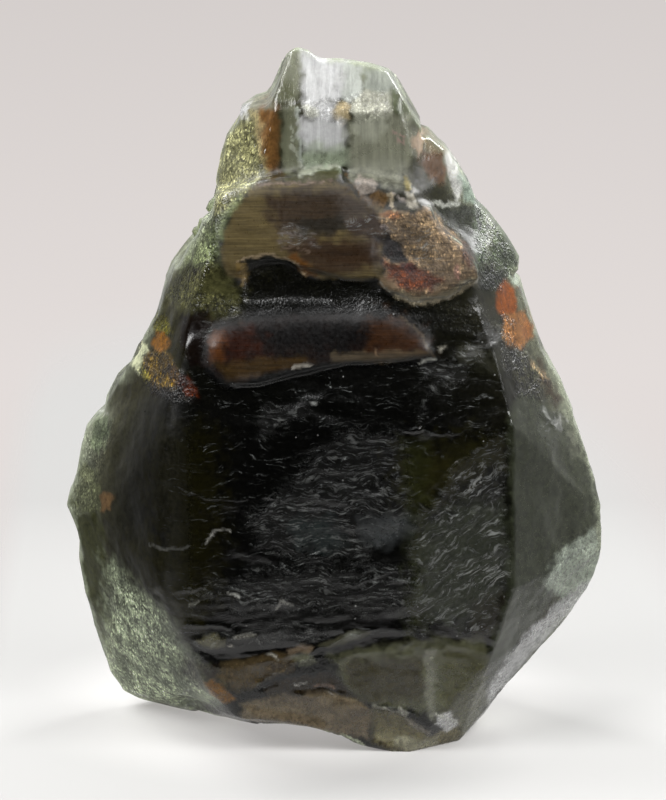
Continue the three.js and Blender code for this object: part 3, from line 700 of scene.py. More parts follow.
     "5.41,15.58 5.52,15.84"),
    ((176, 120, 68), 0.98, 0.07, "5.71,15.01 6.13,14.94 6.48,14.81 6.73,14.25 6.76,14.04 6.26,13.83 5.84,14.06 "
     "5.67,14.43"),
    ((176, 111, 58), 0.7, 0.06, "6.34,14.69 6.66,14.38 6.69,13.95 6.4,14.12"),
    ((63, 59, 31), 0.75, 0.1, "6,16.04 6.28,15.48 6.8,14.22 7.18,13.28 6.86,13.52 6.8,14.19 6.21,15.38"),
    ((223, 237, 212), 0.9, 0.04, "5.9,16.1 6.17,15.82 6.21,15.62 5.97,15.82"),
    ((63, 43, 20), 0.85, 0.12, "6.82,13.48 7.24,12.65 7.74,11.67 7.52,11.52 7.1,12.17 6.89,12.86"),
    ((192, 166, 125), 0.8, 0.05, "6.61,13.39 6.96,13 7.24,12.59 7.06,12.66 6.71,13.11"),
    ((56, 56, 43), 0.8, 0.15, "4.09,14.28 5.57,14.17 6.26,13.71 6.25,13.3 4.96,13.41 4.16,13.7"),
    # lower plate
    ((32, 17, 8), 0.95, 0.06, "-4.33,14.02 -4.23,14.35 -3.99,14.74 -3.69,14.9 -3.09,15.03 -1.77,15.22 "
     "0.23,15.3 1.56,15.26 2.22,15.15 2.62,14.93 2.89,14.64 3.16,14.3 3.29,13.97 2.56,13.84 1.69,13.71 "
     "0.56,13.79 -0.44,13.77 -1.43,13.58 -2.36,13.32 -2.93,13.16 -3.49,13.16 -4.03,13.28 -4.26,13.63"),
    ((12, 8, 8), 0.95, 0.5, "-2.89,14.93 -1.1,15.19 1.36,15.29 1.36,14.29 -1.1,14.06 -2.63,14.03"),
    ((78, 48, 23), 0.92, 0.5, "1.23,15.16 2.22,15.13 2.89,14.55 3.09,14.16 1.29,14.16"),
    ((64, 29, 8), 0.85, 0.5, "-3.63,14.87 -2.89,14.87 -2.3,14.16 -3.09,13.83 -3.56,13.9"),
    ((133, 77, 26), 0.6, 0.14, "-4.2,14.48 -3.89,14.8 -3.63,14.74 -3.63,13.9 -4.03,13.77 -4.23,14.03"),
    ((80, 60, 27), 0.8, 0.14, "-4.03,13.74 -3.09,13.83 -1.1,13.96 -0.7,13.8 -2.36,13.38 -3.49,13.19"),
    ((142, 126, 98), 0.35, 0.06, "-0.1,14.06 3.15,14.18 3.29,13.97 1.69,13.71 -0.1,13.8"),
    # left side, from the chip down
    # painted highlight: the white on the chip
    ((255, 255, 255), 0.95, 0.04, "-8.26,10.44 -8.06,10.65 -7.84,10.74 -7.69,10.87 -8.01,10.59"),
    ((137, 150, 115), 0.85, 0.1, "-8.38,9.66 -8.09,10.53 -7.61,10.79 -7.72,10.04 -8.04,9.52"),
    ((122, 126, 91), 0.85, 0.12, "-9.03,7.4 -8.81,8.15 -8.52,8.95 -8.04,8.94 -7.97,8.18 -7.97,7.58 -8.82,7.11"),
    ((126, 97, 63), 0.95, 0.05, "-7.97,8.15 -7.75,8.49 -7.5,8.35 -7.57,7.87 -7.86,7.68"),
    ((72, 74, 42), 0.92, 0.06, "-8.82,7.07 -7.89,7.59 -7.71,5.88 -7.68,3.94 -7.64,1.68 -8.12,2.9 -8.58,4.83"),
    ((194, 206, 171), 0.9, 0.5, "-7.68,5.82 -7.31,5.89 -6.54,5.4 -5.77,5.05 -5.03,3.63 -4.62,3.22 -4.02,2.5 "
     "-4.03,1.71 -4.91,0.62 -6.32,0.51 -7.31,0.64 -7.64,1.51 -7.73,3.52"),
    ((40, 26, 8), 0.8, 0.2, "-4.97,3.45 -4.01,3.19 -3.61,2.29 -4.33,2.07 -5.27,2.58"),
    ((43, 41, 13), 0.7, 0.6, "-7.29,6.92 -6.15,7.81 -5.27,6.95 -4.61,5.53 -5.16,3.98 -5.84,5.19 -6.9,5.59"),
    # black front and right face
    ((37, 35, 8), 0.7, 0.6, "-5.78,11.68 -3.93,11.48 -3.62,8.34 -3.97,5.53 -4.82,4.09 -5.8,6.92 -6.49,9.39"),
    ((50, 48, 23), 0.85, 0.7, "2.4,10.92 4.56,11.14 5.76,11.28 5.57,10.45 4.57,9.75 3.24,8.88 2.57,8.35 "
     "2.23,10.1"),
    ((54, 57, 30), 0.6, 0.35, "2.36,11.13 3.16,11.12 3.19,4.46 2.52,4.46"),
    ((56, 66, 65), 0.5, 0.25, "-1.44,8.35 -0.1,8.42 0.4,7.64 -0.1,7.23 -1.24,7.37"),
    ((97, 101, 102), 0.5, 0.25, "0.9,8.35 2.57,8.63 2.84,8 1.57,7.37 0.97,7.64"),
    ((71, 76, 59), 0.55, 0.45, "3.24,8.35 4.58,9.04 5.85,9.05 5.86,6.94 5.28,4.82 3.26,4.81 2.78,6.95"),
    ((41, 34, 15), 0.6, 0.2, "4.6,5.53 5.87,5.89 5.63,4.03 4.61,4.24"),
    ((71, 75, 59), 0.92, 0.15, "5.82,12.08 6.25,12.53 7.13,11.92 7.87,11.01 8.37,10.2 8.79,8.85 9.08,7.37 "
     "8.73,6.95 7.68,6.4 7.43,4.91 6.33,3.75 5.66,2.77 5.19,1.95 5.28,4.1 5.81,5.53 5.92,8.35"),
    # painted light: the two pale areas below stand for light let through the thin right-lower edge and for the
    # glints on it
    ((205, 216, 197), 0.85, 0.2, "7.53,6.59 8.8,7.17 9.16,6.21 8.97,5.19 7.71,4.8 7.2,5.61"),
    ((255, 255, 255), 0.65, 0.15, "7.71,4.8 9.04,5.36 8.91,4.78 7.06,3.22 5.69,1.65 5.28,1.15 5.19,1.95 "
     "6.33,3.75"),
    ((141, 143, 124), 0.7, 0.12, "7.87,10.71 8.16,10.59 8.44,9.68 8.15,9.79"),
    # bottom
    ((106, 107, 83), 0.9, 0.2, "-0.1,3.56 2.93,4.1 5.15,4.1 5.2,1.44 4.54,0.05 3.27,1.5 1.31,1.86 0.4,2.3"),
    ((65, 60, 41), 0.9, 0.25, "0.23,3.38 3.06,3.56 3.07,1.94 1.31,1.86 0.57,2.3"),
    ((86, 85, 57), 0.9, 0.2, "3.6,3.74 5.02,3.74 5.06,1.53 4.37,1.09 3.62,1.33"),
    ((173, 173, 158), 0.45, 0.1, "3.06,3.74 3.4,3.74 3.48,1.19 3.14,1.36"),
    ((107, 104, 82), 0.9, 0.08, LEFT_SCALE),
    ((119, 117, 109), 0.9, 0.04, SMALL_SCALE),
    ((8, 8, 8), 0.98, 0.08, "-4.48,3.77 -3.64,3.77 -2.39,3.9 -1.38,4.03 -1.11,3.92 -2.06,3.56 -3.14,3.34 "
     "-4.01,3.3"),
    ((84, 71, 48), 0.92, 0.12, "-3.74,3.23 -1.96,3.63 -1.05,3.49 -1.39,3.09 -2.4,2.66 -2.8,2.33 -3.31,2.33 "
     "-4.01,2.79"),
    ((125, 109, 90), 0.9, 0.05, "-1.59,3.81 -1.01,3.95 -0.58,3.88 -0.91,3.67 -1.45,3.59"),
    ((88, 87, 70), 0.9, 0.06, MIDDLE_SCALE),
    ((118, 119, 107), 0.9, 0.04, RIGHT_SCALE),
    ((123, 124, 103), 0.85, 0.08, "-1.45,3.56 -0.95,3.67 -0.54,3.38 -1.12,3.16"),
    ((41, 31, 15), 0.95, 0.06, FOOT_GROOVE),
    ((121, 107, 86), 0.92, 0.1, "-3.14,1.86 -1.12,2.12 -0.11,2.26 0.77,1.9 1.32,1.48 1.12,0.47 -0.1,0.75 "
     "-1.8,0.99 -3.16,1.01"),
    ((126, 87, 36), 0.92, 0.06, "-4.36,2.53 -4.08,2.72 -3.75,2.51 -3.55,2.22 -3.28,1.97 -3.75,1.81 -4.09,1.99"),
    ((128, 120, 88), 0.88, 0.15, FOOT_SLAB),
    # painted highlight: the white on a small facet of the foot
    ((255, 255, 255), 0.8, 0.06, "3.48,1.43 3.96,1.41 4.24,0.76 3.84,0.52 3.48,1.1"),
    ((168, 165, 141), 0.7, 0.1, "2.27,0.55 3.5,0.35 3.64,-0.12 2.41,-0.03 1.93,0.18"),
]
STROKES = [
    # colour as seen, strength, half width, then points in x and z
    ((14, 13, 10), 0.85, 0.12, "-3.7,15 -3.1,15.2 -1.77,15.36 0.23,15.49 1.56,15.39 2.29,15.27 3.02,14.75"),
    # painted light: the next two pale strokes are streaks of light in the clear window
    ((226, 234, 222), 0.6, 0.035, "-1.2,21.77 -1.17,21.12 -1.1,19.99"),
    ((196, 200, 180), 0.8, 0.03, "-1.4,21.19 -1.4,20.7 -1.23,20.28 -1,19.86"),
    ((200, 170, 160), 0.8, 0.03, "1.96,21.09 2.19,21.03 2.39,20.87 2.29,20.74 2.13,20.83"),
    ((60, 56, 24), 0.8, 0.04, "-3.02,21.23 -2.91,20.57 -2.71,20.12"),
    ((60, 56, 24), 0.8, 0.03, "-2.82,21.19 -2.61,20.5 -2.37,19.96"),
    # painted highlight: a bright line along the edge of the ledge
    ((190, 194, 172), 0.8, 0.04, "-1.1,19.77 -0.44,19.94 0.13,19.99"),
    ((196, 180, 150), 0.9, 0.04, "1.82,19.13 1.99,19.19 1.89,18.99 1.96,18.73"),
    ((196, 184, 176), 0.8, 0.05, "2.02,19.16 2.22,19.03 2.36,19"),
    ((150, 138, 134), 0.5, 0.03, "-1.9,17.93 -1.5,18 -1.03,17.97"),
    ((130, 118, 114), 0.5, 0.03, "-1.83,17.68 -1.43,17.74"),
    ((150, 140, 136), 0.5, 0.03, "-0.8,17.61 -0.5,17.52"),
    ((140, 130, 126), 0.5, 0.03, "-0.77,17.93 -0.57,17.97"),
    ((170, 150, 120), 0.85, 0.04, "-3.33,16.97 -2.93,17.13 -2.26,17.23 -1.66,17.16 -1.2,16.89 -0.9,16.59"),
    ((156, 132, 116), 0.7, 0.035, "-2.49,19.45 -1.6,19.55 -1.1,19.55 -0.6,19.58 -0.1,19.6"),
    ((150, 128, 110), 0.6, 0.03, "-1.76,17.45 -1.23,17.52 -0.83,17.32"),
    ((172, 156, 150), 0.8, 0.04, "1.62,18.2 1.82,18.07 1.95,17.94"),
    ((186, 180, 166), 0.8, 0.04, "1.56,16.31 1.96,16.08 2.36,15.84 2.82,15.66 3.28,15.91 3.76,15.81 4.15,16.13 "
     "4.55,16.44 4.83,16.31"),
    ((206, 208, 196), 0.9, 0.05, "3.33,18.82 3.63,18.67 3.91,18.59 4.18,18.59"),
    ((176, 178, 164), 0.7, 0.04, "5.22,18.12 5.15,17.35 5.04,16.75"),
    ((60, 66, 56), 0.7, 0.03, "4.87,18.33 4.88,17.61"),
    ((120, 104, 80), 0.5, 0.03, "2.16,15.18 2.62,14.96 2.92,14.64 3.15,14.27 3.36,13.93"),
    ((160, 130, 100), 0.7, 0.035, "1.39,14.19 1.53,13.96 1.63,13.71"),
    # painted shadow: a black stroke under the lower edge of the lower plate
    ((5, 5, 4), 0.9, 0.09, "-4.3,13.44 -3.5,12.89 -2.36,13.1 -0.77,13.54 0.56,13.57 1.69,13.58 3.36,13.77"),
    # painted glints: the pale strokes from here on are glints on crests, chips and rims, painted into the
    # colour
    ((186, 180, 168), 0.72, 0.045, "-1.37,13.58 -0.83,13.71"),
    ((190, 186, 170), 0.8, 0.05, "3.56,14.1 3.76,14.22"),
    ((200, 200, 190), 0.8, 0.04, "2.89,13.7 3.16,13.84 3.42,13.84"),
    ((230, 232, 226), 0.72, 0.0525, "-0.77,12.4 -0.6,12.37"),
    ((226, 230, 220), 0.76, 0.075, "-6.88,0.74 -6.46,0.66"),
    ((226, 230, 220), 0.72, 0.045, "-5.23,1.44 -4.9,1.94"),
    ((200, 206, 194), 0.68, 0.045, "-5.53,0.74 -5.11,0.96 -4.66,1.59"),
    ((196, 200, 192), 0.64, 0.0375, "-5.27,0.5 -4.73,0.88"),
    ((180, 178, 170), 0.68, 0.0375, "-4.29,7.53 -3.99,7.96 -3.72,8.03 -3.52,7.96"),
    ((130, 130, 124), 0.56, 0.0375, "-6.15,7.29 -5.63,7.37 -4.79,7.43"),
    ((196, 196, 188), 0.72, 0.0375, "-3.6,5.78 -3.13,5.67"),
    ((170, 168, 160), 0.72, 0.0525, "-1.92,5.32 -1.72,5.53 -1.45,5.42"),
    ((150, 150, 140), 0.64, 0.0375, "-4.87,5.38 -4.54,5.53"),
    ((180, 176, 166), 0.68, 0.0375, "-3.54,3.88 -3.47,3.92"),
    ((180, 178, 168), 0.68, 0.0338, "-2.13,3.59 -1.86,3.41"),
    ((200, 196, 188), 0.72, 0.0375, "-1.35,2.48 -0.95,2.55"),
    ((150, 124, 108), 0.68, 0.0375, "-0.58,2.44 -0.28,2.51 0.03,2.37"),
    ((180, 178, 162), 0.68, 0.045, "1.31,1.79 2.13,1.5 2.4,1.43"),
    ((206, 204, 190), 0.72, 0.06, "2.19,1.68 2.43,1.43"),
    ((170, 162, 150), 0.64, 0.075, "2.47,1.22 3.15,0.74"),
    ((222, 222, 210), 0.72, 0.045, "3.48,1.43 3.96,1.18 4.24,0.81"),
    ((20, 20, 16), 0.64, 0.03, "2.53,1.5 2.94,1.13 3.42,0.74"),
    ((70, 60, 48), 0.56, 0.0375, "1.32,0.47 1.86,0.15 2.41,-0.03"),
    ((200, 204, 196), 0.68, 0.045, "7.72,4.65 8.14,4.73 8.56,4.88"),
    ((236, 240, 232), 0.76, 0.06, "6.9,3.5 7.26,3.62"),
    ((206, 210, 200), 0.68, 0.045, "7.26,3.67 7.74,3.98"),
    ((166, 172, 164), 0.56, 0.075, "7.89,6.33 8.38,6.6"),
    ((176, 180, 170), 0.64, 0.045, "8.05,5.65 8.68,6.03"),
    ((190, 190, 184), 0.64, 0.0375, "7.66,11.34 7.52,11.04 7.94,10.98"),
    ((170, 172, 166), 0.56, 0.0375, "7.02,11.73 7.52,11.04 7.66,10.8"),
]
print(len(AREAS), "areas and", len(STROKES), "strokes of colour")

# %% Paint by thickness, then by area
GAMMA = 2.2
START = 0.02
PAINT_REACH = -0.6


def linear(colour):
    """A colour as seen on a screen, 0 to 255, as the light that it gives back, 0 to 1."""
    return (np.array(colour) / 255) ** GAMMA


def thickness_of(mesh):
    """How much stone is in front of or behind each vertex, measured from front to back."""
    points = points_of(mesh)
    tree = BVHTree.FromPolygons([tuple(p) for p in points.tolist()],
                                [tuple(face.vertices) for face in mesh.polygons])
    front = frontness(points)
    thick = np.zeros(len(points))
    for index, place in enumerate(points.tolist()):
        side = 1 if front[index] > 0.5 else -1
        start = Vector(place) + Vector((0, START * side, 0))
        hit = tree.ray_cast(start, Vector((0, side, 0)))
        thick[index] = hit[3] if hit[3] is not None else 0.0
    return thick


def mixed(colour, other, share):
    """Each row of a colour, moved to another colour by its share."""
    return colour + share[:, None] * (np.array(other) - colour)


def paint(mesh):
    """The colour of each vertex: dark where the stone is thick, pale where it is thin, partly as painted light
    let through, then stained and given painted highlights and a painted shadow.
    """
    points = points_of(mesh)
    thick = thickness_of(mesh)
    front = frontness(points + np.array([0, PAINT_REACH, 0]))
    colour = np.zeros((len(points), 3)) + linear(DEEP)
    colour = mixed(colour, linear(OLIVE), bell(thick, OLIVE_DEPTH))
    colour = mixed(colour, linear(PALE_LIGHT_THROUGH), bell(thick, LIGHT_THROUGH_DEPTH))
    wander = points + 0.09 * swirl(points, 2.8, 4, (1.1, 4.7, 8.3))
    blotch = ripple(points, (3.0, 3.0, 3.0), 4, 12.9)
    for tone, strength, soft, outline in AREAS:
        share = step(across(wander, outline) + 0.9 * soft * blotch, -soft, soft)
        colour = mixed(colour, linear(tone), strength * share * front)
    for tone, strength, half, line in STROKES:
        share = step(-beside(wander, line) - 0.5 * half * blotch, -1.5 * half, -0.5 * half)
        colour = mixed(colour, linear(tone), strength * share * front)
    return colour, thick


tint, thickness = paint(crystal.data)
print("thickest place", round(thickness.max(), 1), "mm")

# %% Polish and crests
CREST_REACH = 0.3
PLAIN_MATT = 0.12
MOST_MATT = 0.8


def matt_field(points):
    """How rough the polish is, from 0 for a mirror to 1 for chalk."""
    x, z = points[:, 0], points[:, 2]
    front = frontness(points)
    rougher = [
        # by how much, and where
        (0.1, tip_field(points)), (0.08, hackle_field(points)), (0.2, plates_field(points)),
        (0.3, flake_field(points)), (0.25, frost_field(points)), (0.15, pitted_field(points)),
        # the ledge, the right flank, the place beside the flake, and the rims of the plates
        (0.2, within(z, (19.0, 19.5), (19.8, 20.3)) * front),
        (0.12, step(x, 5.8, 6.3) * front),
        (0.15, step(x, 3.4, 4.0) * step(z, 15.8, 16.4) * front),
        (0.2, bell(rim_distance(points), 0.2) * front),
        # the left flank, the notch, the foot, and the back
        (0.25, step(-x, 4.4, 5.4) * step(-z, -14.5, -13.5) * front),
        (0.25, step(-notch_distance(points), -1.8, -1.0) * front),
        (0.15, step(-z, -4.0, -3.0)), (0.2, 1 - front),
    ]
    matt = PLAIN_MATT + sum(amount * where for amount, where in rougher)
    return np.clip(matt, 0, MOST_MATT)


def crest_distance(points):
    """Distance to the nearest of the crests, up to their reach."""
    wobble = off_crest(points)
    away = np.full(len(points), CREST_REACH)
    for _, line in CRESTS:
        away = np.minimum(away, beside(wobble, line))
    return np.maximum(away, CREST_REACH * (1 - frontness(points)))


print("crests are felt up to", CREST_REACH, "mm away")


# %% Keep it all in the mesh
def store(mesh, name, values):
    """Keeps one number or one colour for each vertex, for the material to read."""
    kind = "FLOAT_COLOR" if values.ndim == 2 else "FLOAT"
    attribute = mesh.attributes.new(name, kind, "POINT")
    if values.ndim == 2:
        values = np.concatenate([values, np.ones((len(values), 1))], 1)
        attribute.data.foreach_set("color", values.ravel())
    else:
        attribute.data.foreach_set("value", values)


FIELDS = {"hackle": hackle_field, "frost": frost_field, "pitted": pitted_field, "plate": plates_field,
          "clear": tip_field, "matt": matt_field, "crest": crest_distance}
places = points_of(crystal.data)
store(crystal.data, "tint", tint)
for name, field in FIELDS.items():
    store(crystal.data, name, field(places))
crystal.data.transform(Matrix.Scale(MM, 4))
crystal.data.shade_smooth()
print("stored the tint and", len(FIELDS), "fields, and scaled the mesh to metres")

# %% [markdown]
# ## The finish of a clear, broken crystal
#
# The real crystal is clear but strongly tinted: light goes in, is partly swallowed on its way, and comes
# out where the stone is thin. Its broken faces carry thousands of hair-thin steps that catch the light.
# Black paint with a gloss would look solid at the rims, and modelled hairs would need millions of faces.
# So the finish is one see-through material, with the bend of light that sillimanite has and an inside
# that swallows light. The finest steps and pits are noise, stretched along the break, and their glints
# are painted into the colour as noise as well.

# %% Helpers for the finish
material = bpy.data.materials.new("crystal")
material.use_nodes = True
tree = material.node_tree
shader = tree.nodes["Principled BSDF"]
place = tree.nodes.new("ShaderNodeTexCoord").outputs["Object"]


def feed(socket, value):
    """Links a socket to another, or sets it to a value."""
    if isinstance(value, bpy.types.NodeSocket):
        socket.id_data.links.new(value, socket)
    else:
        socket.default_value = value


def node_in(home, kind, inputs, **settings):
    """Adds a node with its settings to a node tree, and feeds its inputs."""
    made = home.nodes.new("ShaderNode" + kind)
    for name, value in settings.items():
        setattr(made, name, value)
    for name, value in inputs.items():
        feed(made.inputs[name], value)
    return made


def add_node(kind, inputs, **settings):
    """Adds a node to the crystal's material."""
    return node_in(tree, kind, inputs, **settings)


def calc(operation, first, second=0.0, third=0.0):
    """The result of a sum, a product or the like."""
    return add_node("Math", {0: first, 1: second, 2: third}, operation=operation).outputs[0]


def times(*values):
    """The product of two or more values."""
    product = values[0]
    for value in values[1:]:
        product = calc("MULTIPLY", product, value)
    return product


def attribute(name, output="Fac"):
    """What was stored for each vertex under a name."""
    return add_node("Attribute", {}, attribute_name=name).outputs[output]


def stretched(scale, vector=None):
    """Object coordinates, or a vector, so many times a millimetre each way."""
    inputs = {"Vector": vector or place, "Scale": [value / MM for value in scale]}
    return add_node("Mapping", inputs).outputs[0]


def noise_at(scale, detail=3.0, rough=0.6, vector=None, output="Fac"):
    """Noise at Object coordinates, or at a vector, that changes so many times in a millimetre."""
    inputs = {"Vector": stretched(scale, vector), "Scale": 1.0, "Detail": detail, "Roughness": rough}
    return add_node("TexNoise", inputs).outputs[output]


def pushed_by(amount, scale, detail):
    """Object coordinates, pushed about by noise. The amount is in metres."""
    colour = noise_at(scale, detail, output="Color")
    push = add_node("VectorMath", {0: colour, 1: (0.5,) * 3}, operation="SUBTRACT").outputs[0]
    return add_node("VectorMath", {0: push, 1: (amount,) * 3, 2: place}, operation="MULTIPLY_ADD").outputs[0]


def contrast(value, low, high):
    """0 below low, 1 above high."""
    inputs = {"Value": value, "From Min": low, "From Max": high}
    return add_node("MapRange", inputs, interpolation_type="SMOOTHSTEP").outputs["Result"]


def blend(share, first, second):
    """From the first colour to the second by a share."""
    return add_node("Mix", {0: share, 6: first, 7: second}, data_type="RGBA").outputs[2]


# %% Noises of the break
PUSH = 0.0012
FINE_PUSH = 0.00012
LEAN = 0.7
MARKS = ("hackle", "frost", "pitted", "clear", "plate")
hackle, frost, pitted, clear, plate = (attribute(name) for name in MARKS)
pushed = pushed_by(PUSH, (0.7, 0.7, 0.9), 2.0)
turned = add_node("Mapping", {"Vector": pushed, "Rotation": (0, LEAN, 0)}).outputs[0]
in_corner = contrast(frost, 0.6, 0.85)
level = noise_at((1.8, 5.0, 10.0), 6.0, 0.75, pushed)
diagonal = noise_at((0.9, 5.0, 8.0), 6.0, 0.75, turned)
splinters = calc("ADD", level, times(in_corner, calc("SUBTRACT", diagonal, level)))
streaks = contrast(noise_at((0.7, 5.0, 9.0), 6.0, 0.75, pushed), 0.57, 0.73)
patchy = contrast(noise_at((0.4, 0.8, 0.8), 4.0), 0.38, 0.62)
blotches = contrast(noise_at((1.1, 1.1, 1.3), 4.0), 0.36, 0.64)
curtains = noise_at((5.0, 1.5, 0.25), 4.0, 0.6)
brushed = noise_at((0.6, 3.0, 15.0), 4.0, 0.75)
grain = noise_at((9.0, 9.0, 9.0), 4.0)
print("noise is pushed about by up to", PUSH / MM / 2, "mm")

# %% Painted glints of the pitted parts
PITS = (13.0, 13.0, 10.0)
crumpled = pushed_by(FINE_PUSH, (5.0, 5.0, 5.0), 3.0)
cells = add_node("TexVoronoi", {"Vector": stretched(PITS, crumpled), "Scale": 1.0})
chance = add_node("SeparateColor", {"Color": cells.outputs["Color"]}).outputs[0]
glint = times(contrast(chance, 0.62, 0.95), contrast(cells.outputs["Distance"], 0.7, 0.25))
crumple = noise_at((6.5, 6.5, 4.5), 5.0, 0.7, pushed)
wrinkles = times(contrast(crumple, 0.38, 0.64), calc("MULTIPLY_ADD", blotches, 1.8, 0.3))
bright = calc("MULTIPLY_ADD", blotches, 0.8, 0.2)
twinkle = calc("MULTIPLY_ADD", times(glint, bright), 4.0, wrinkles)
print("about", PITS[0], "pits in a millimetre")

# %% Fine relief and polish
PLAIN_GRAIN = 0.001
RELIEF = [
    # noise, where it is, and its height in millimetres
    (level, hackle, 0.01), (cells.outputs["Distance"], pitted, 0.03), (curtains, clear, 0.03),
]
height = times(splinters, times(frost, 0.02))
for wave, where, tall in RELIEF:
    height = calc("MULTIPLY_ADD", wave, times(where, tall), height)
height = calc("MULTIPLY_ADD", grain, calc("MULTIPLY_ADD", attribute("matt"), 0.007, PLAIN_GRAIN), height)
bump = add_node("Bump", {"Distance": MM, "Height": height})
feed(shader.inputs["Normal"], bump.outputs["Normal"])
feed(shader.inputs["Roughness"], times(attribute("matt"), calc("ADD", grain, 0.5)))
print(len(RELIEF) + 2, "layers of fine relief")

# %% Light and dark of the tint
mottle = contrast(noise_at((3.2, 3.2, 3.2), 5.0, 0.7), 0.3, 0.7)
uneven = calc("SUBTRACT", times(calc("ADD", contrast(grain, 0.25, 0.75), mottle), 0.6), 0.6)
coarse = calc("MULTIPLY_ADD", calc("MAXIMUM", plate, clear), -0.8, 1.0)
# painted glints: the tint of the pitted parts is made brighter in random cells and wrinkles
glistening = calc("ADD", calc("SUBTRACT", 1.0, pitted), times(pitted, twinkle))
shade = times(calc("MULTIPLY_ADD", uneven, coarse, 1.0), glistening)
# painted reflections: in the clear tip the curtains make light and dark upright streaks, which stand for cracks
# inside it that mirror light; the brushed lines of the plates are their own striations
for wave, where, strength in ((curtains, clear, 1.3), (brushed, plate, 2.6)):
    shade = times(shade, calc("MULTIPLY_ADD", calc("SUBTRACT", wave, 0.5), times(where, strength), 1.0))
tinted = add_node("VectorMath", {0: attribute("tint", "Color"), "Scale": shade}, operation="SCALE").outputs[0]
print(len(tree.nodes), "nodes so far")

# %% Frost, lines, painted glints on the crests, and dust on top
LINE_COLOUR = (0.36, 0.375, 0.365, 1)
FROST_COLOUR = (0.5, 0.515, 0.49, 1)
CREST_GLINT_COLOUR = (0.6, 0.64, 0.62, 1)
DUST_COLOUR = (0.6, 0.6, 0.58, 1)
lines = times(streaks, calc("MULTIPLY_ADD", patchy, 0.95, 0.1))
lines = times(lines, contrast(grain, 0.3, 0.6))
frosty = times(contrast(splinters, 0.525, 0.63), calc("MULTIPLY_ADD", blotches, 0.7, 0.3))
# painted glints: sparks and the crest lines are bright specks and lines painted into the colour along the
# hackles and crests
sparks = times(contrast(noise_at((11.0, 13.0, 15.0), 2.0), 0.56, 0.63), streaks)
sparks = times(sparks, times(hackle, calc("MULTIPLY_ADD", frost, 0.9, 0.6)))
crest = times(contrast(attribute("crest"), 0.03, 0.005), contrast(grain, 0.42, 0.6))
dust_cell = add_node("TexVoronoi", {"Vector": stretched((2.4, 2.4, 2.4)), "Scale": 1.0})
chosen = contrast(add_node("SeparateColor", {"Color": dust_cell.outputs["Color"]}).outputs[0], 0.7, 0.75)
speck = times(contrast(dust_cell.outputs["Distance"], 0.09, 0.05), chosen, hackle)
LAYERS = [
    # how much of it shows, and its colour
    (times(hackle, lines), LINE_COLOUR), (times(frost, frosty), FROST_COLOUR), (sparks, CREST_GLINT_COLOUR),
    (times(crest, 0.2), CREST_GLINT_COLOUR), (times(speck, 0.7), DUST_COLOUR),
]
colour = tinted
for share, on_top in LAYERS:
    colour = blend(share, colour, on_top)
feed(shader.inputs["Base Color"], colour)
print(len(LAYERS), "layers on the tint")

# %% The clear, tinted inside
CLEARNESS = 0.6
BEND_OF_LIGHT = 1.66
MIRROR = 0.2
INSIDE_COLOUR = (0.35, 0.42, 0.28, 1)
INSIDE_DENSITY = 350
shader.inputs["Transmission Weight"].default_value = CLEARNESS
shader.inputs["IOR"].default_value = BEND_OF_LIGHT
shader.inputs["Specular IOR Level"].default_value = MIRROR
absorb = add_node("VolumeAbsorption", {"Color": INSIDE_COLOUR, "Density": INSIDE_DENSITY})
feed(tree.nodes["Material Output"].inputs["Volume"], absorb.outputs["Volume"])
crystal.data.materials.clear()
crystal.data.materials.append(material)

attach(crystal, "root")
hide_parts(NODE)
print(len(tree.nodes), "nodes in the material")

# %% [markdown]
# ## The stage
#
# The stone stands on a small white sheet in a tent of soft light that is dark on the camera's side.
# A clear dark stone shows mostly what it reflects, so a bright room in front would turn it grey. The
# tent is the world itself, which is simpler than walls of cloth, and four soft lights stand at its
# corners, where the faces of the stone don't mirror them to the camera.

# %% The white sheet
FLOOR_SIZE = 0.6
FLOOR_MIDDLE = (-0.0028, 0.0)
FLOOR_HALF = (0.0175, 0.0527)
FLOOR_EDGE = (1.14, 0.84)
FLOOR_FRONT = (-0.0155, -0.0105)
FLOOR_LEFT = (-0.0135, -0.0115)
FLOOR_DEPTH = (-0.004, 0.025)
# painted shade: how white the sheet is at the front and at the back, darker towards the back
FLOOR_PAINTED_SHADE = (0.37, 0.23)
FLOOR_COLOUR = (1, 0.99, 0.97)
FLOOR_ROUGH = 0.7
# painted pool of light: a soft glow on the sheet around the stone's foot, for the light that the stone lets
# through
PAINTED_POOL_MIDDLE = (-0.001, 0.001)
PAINTED_POOL_HALF = (0.009, 0.008)
PAINTED_POOL_EDGE = (1.2, 0.3)
PAINTED_POOL_GLOW = 0.42
PAINTED_POOL_COLOUR = (1, 0.97, 0.95, 1)


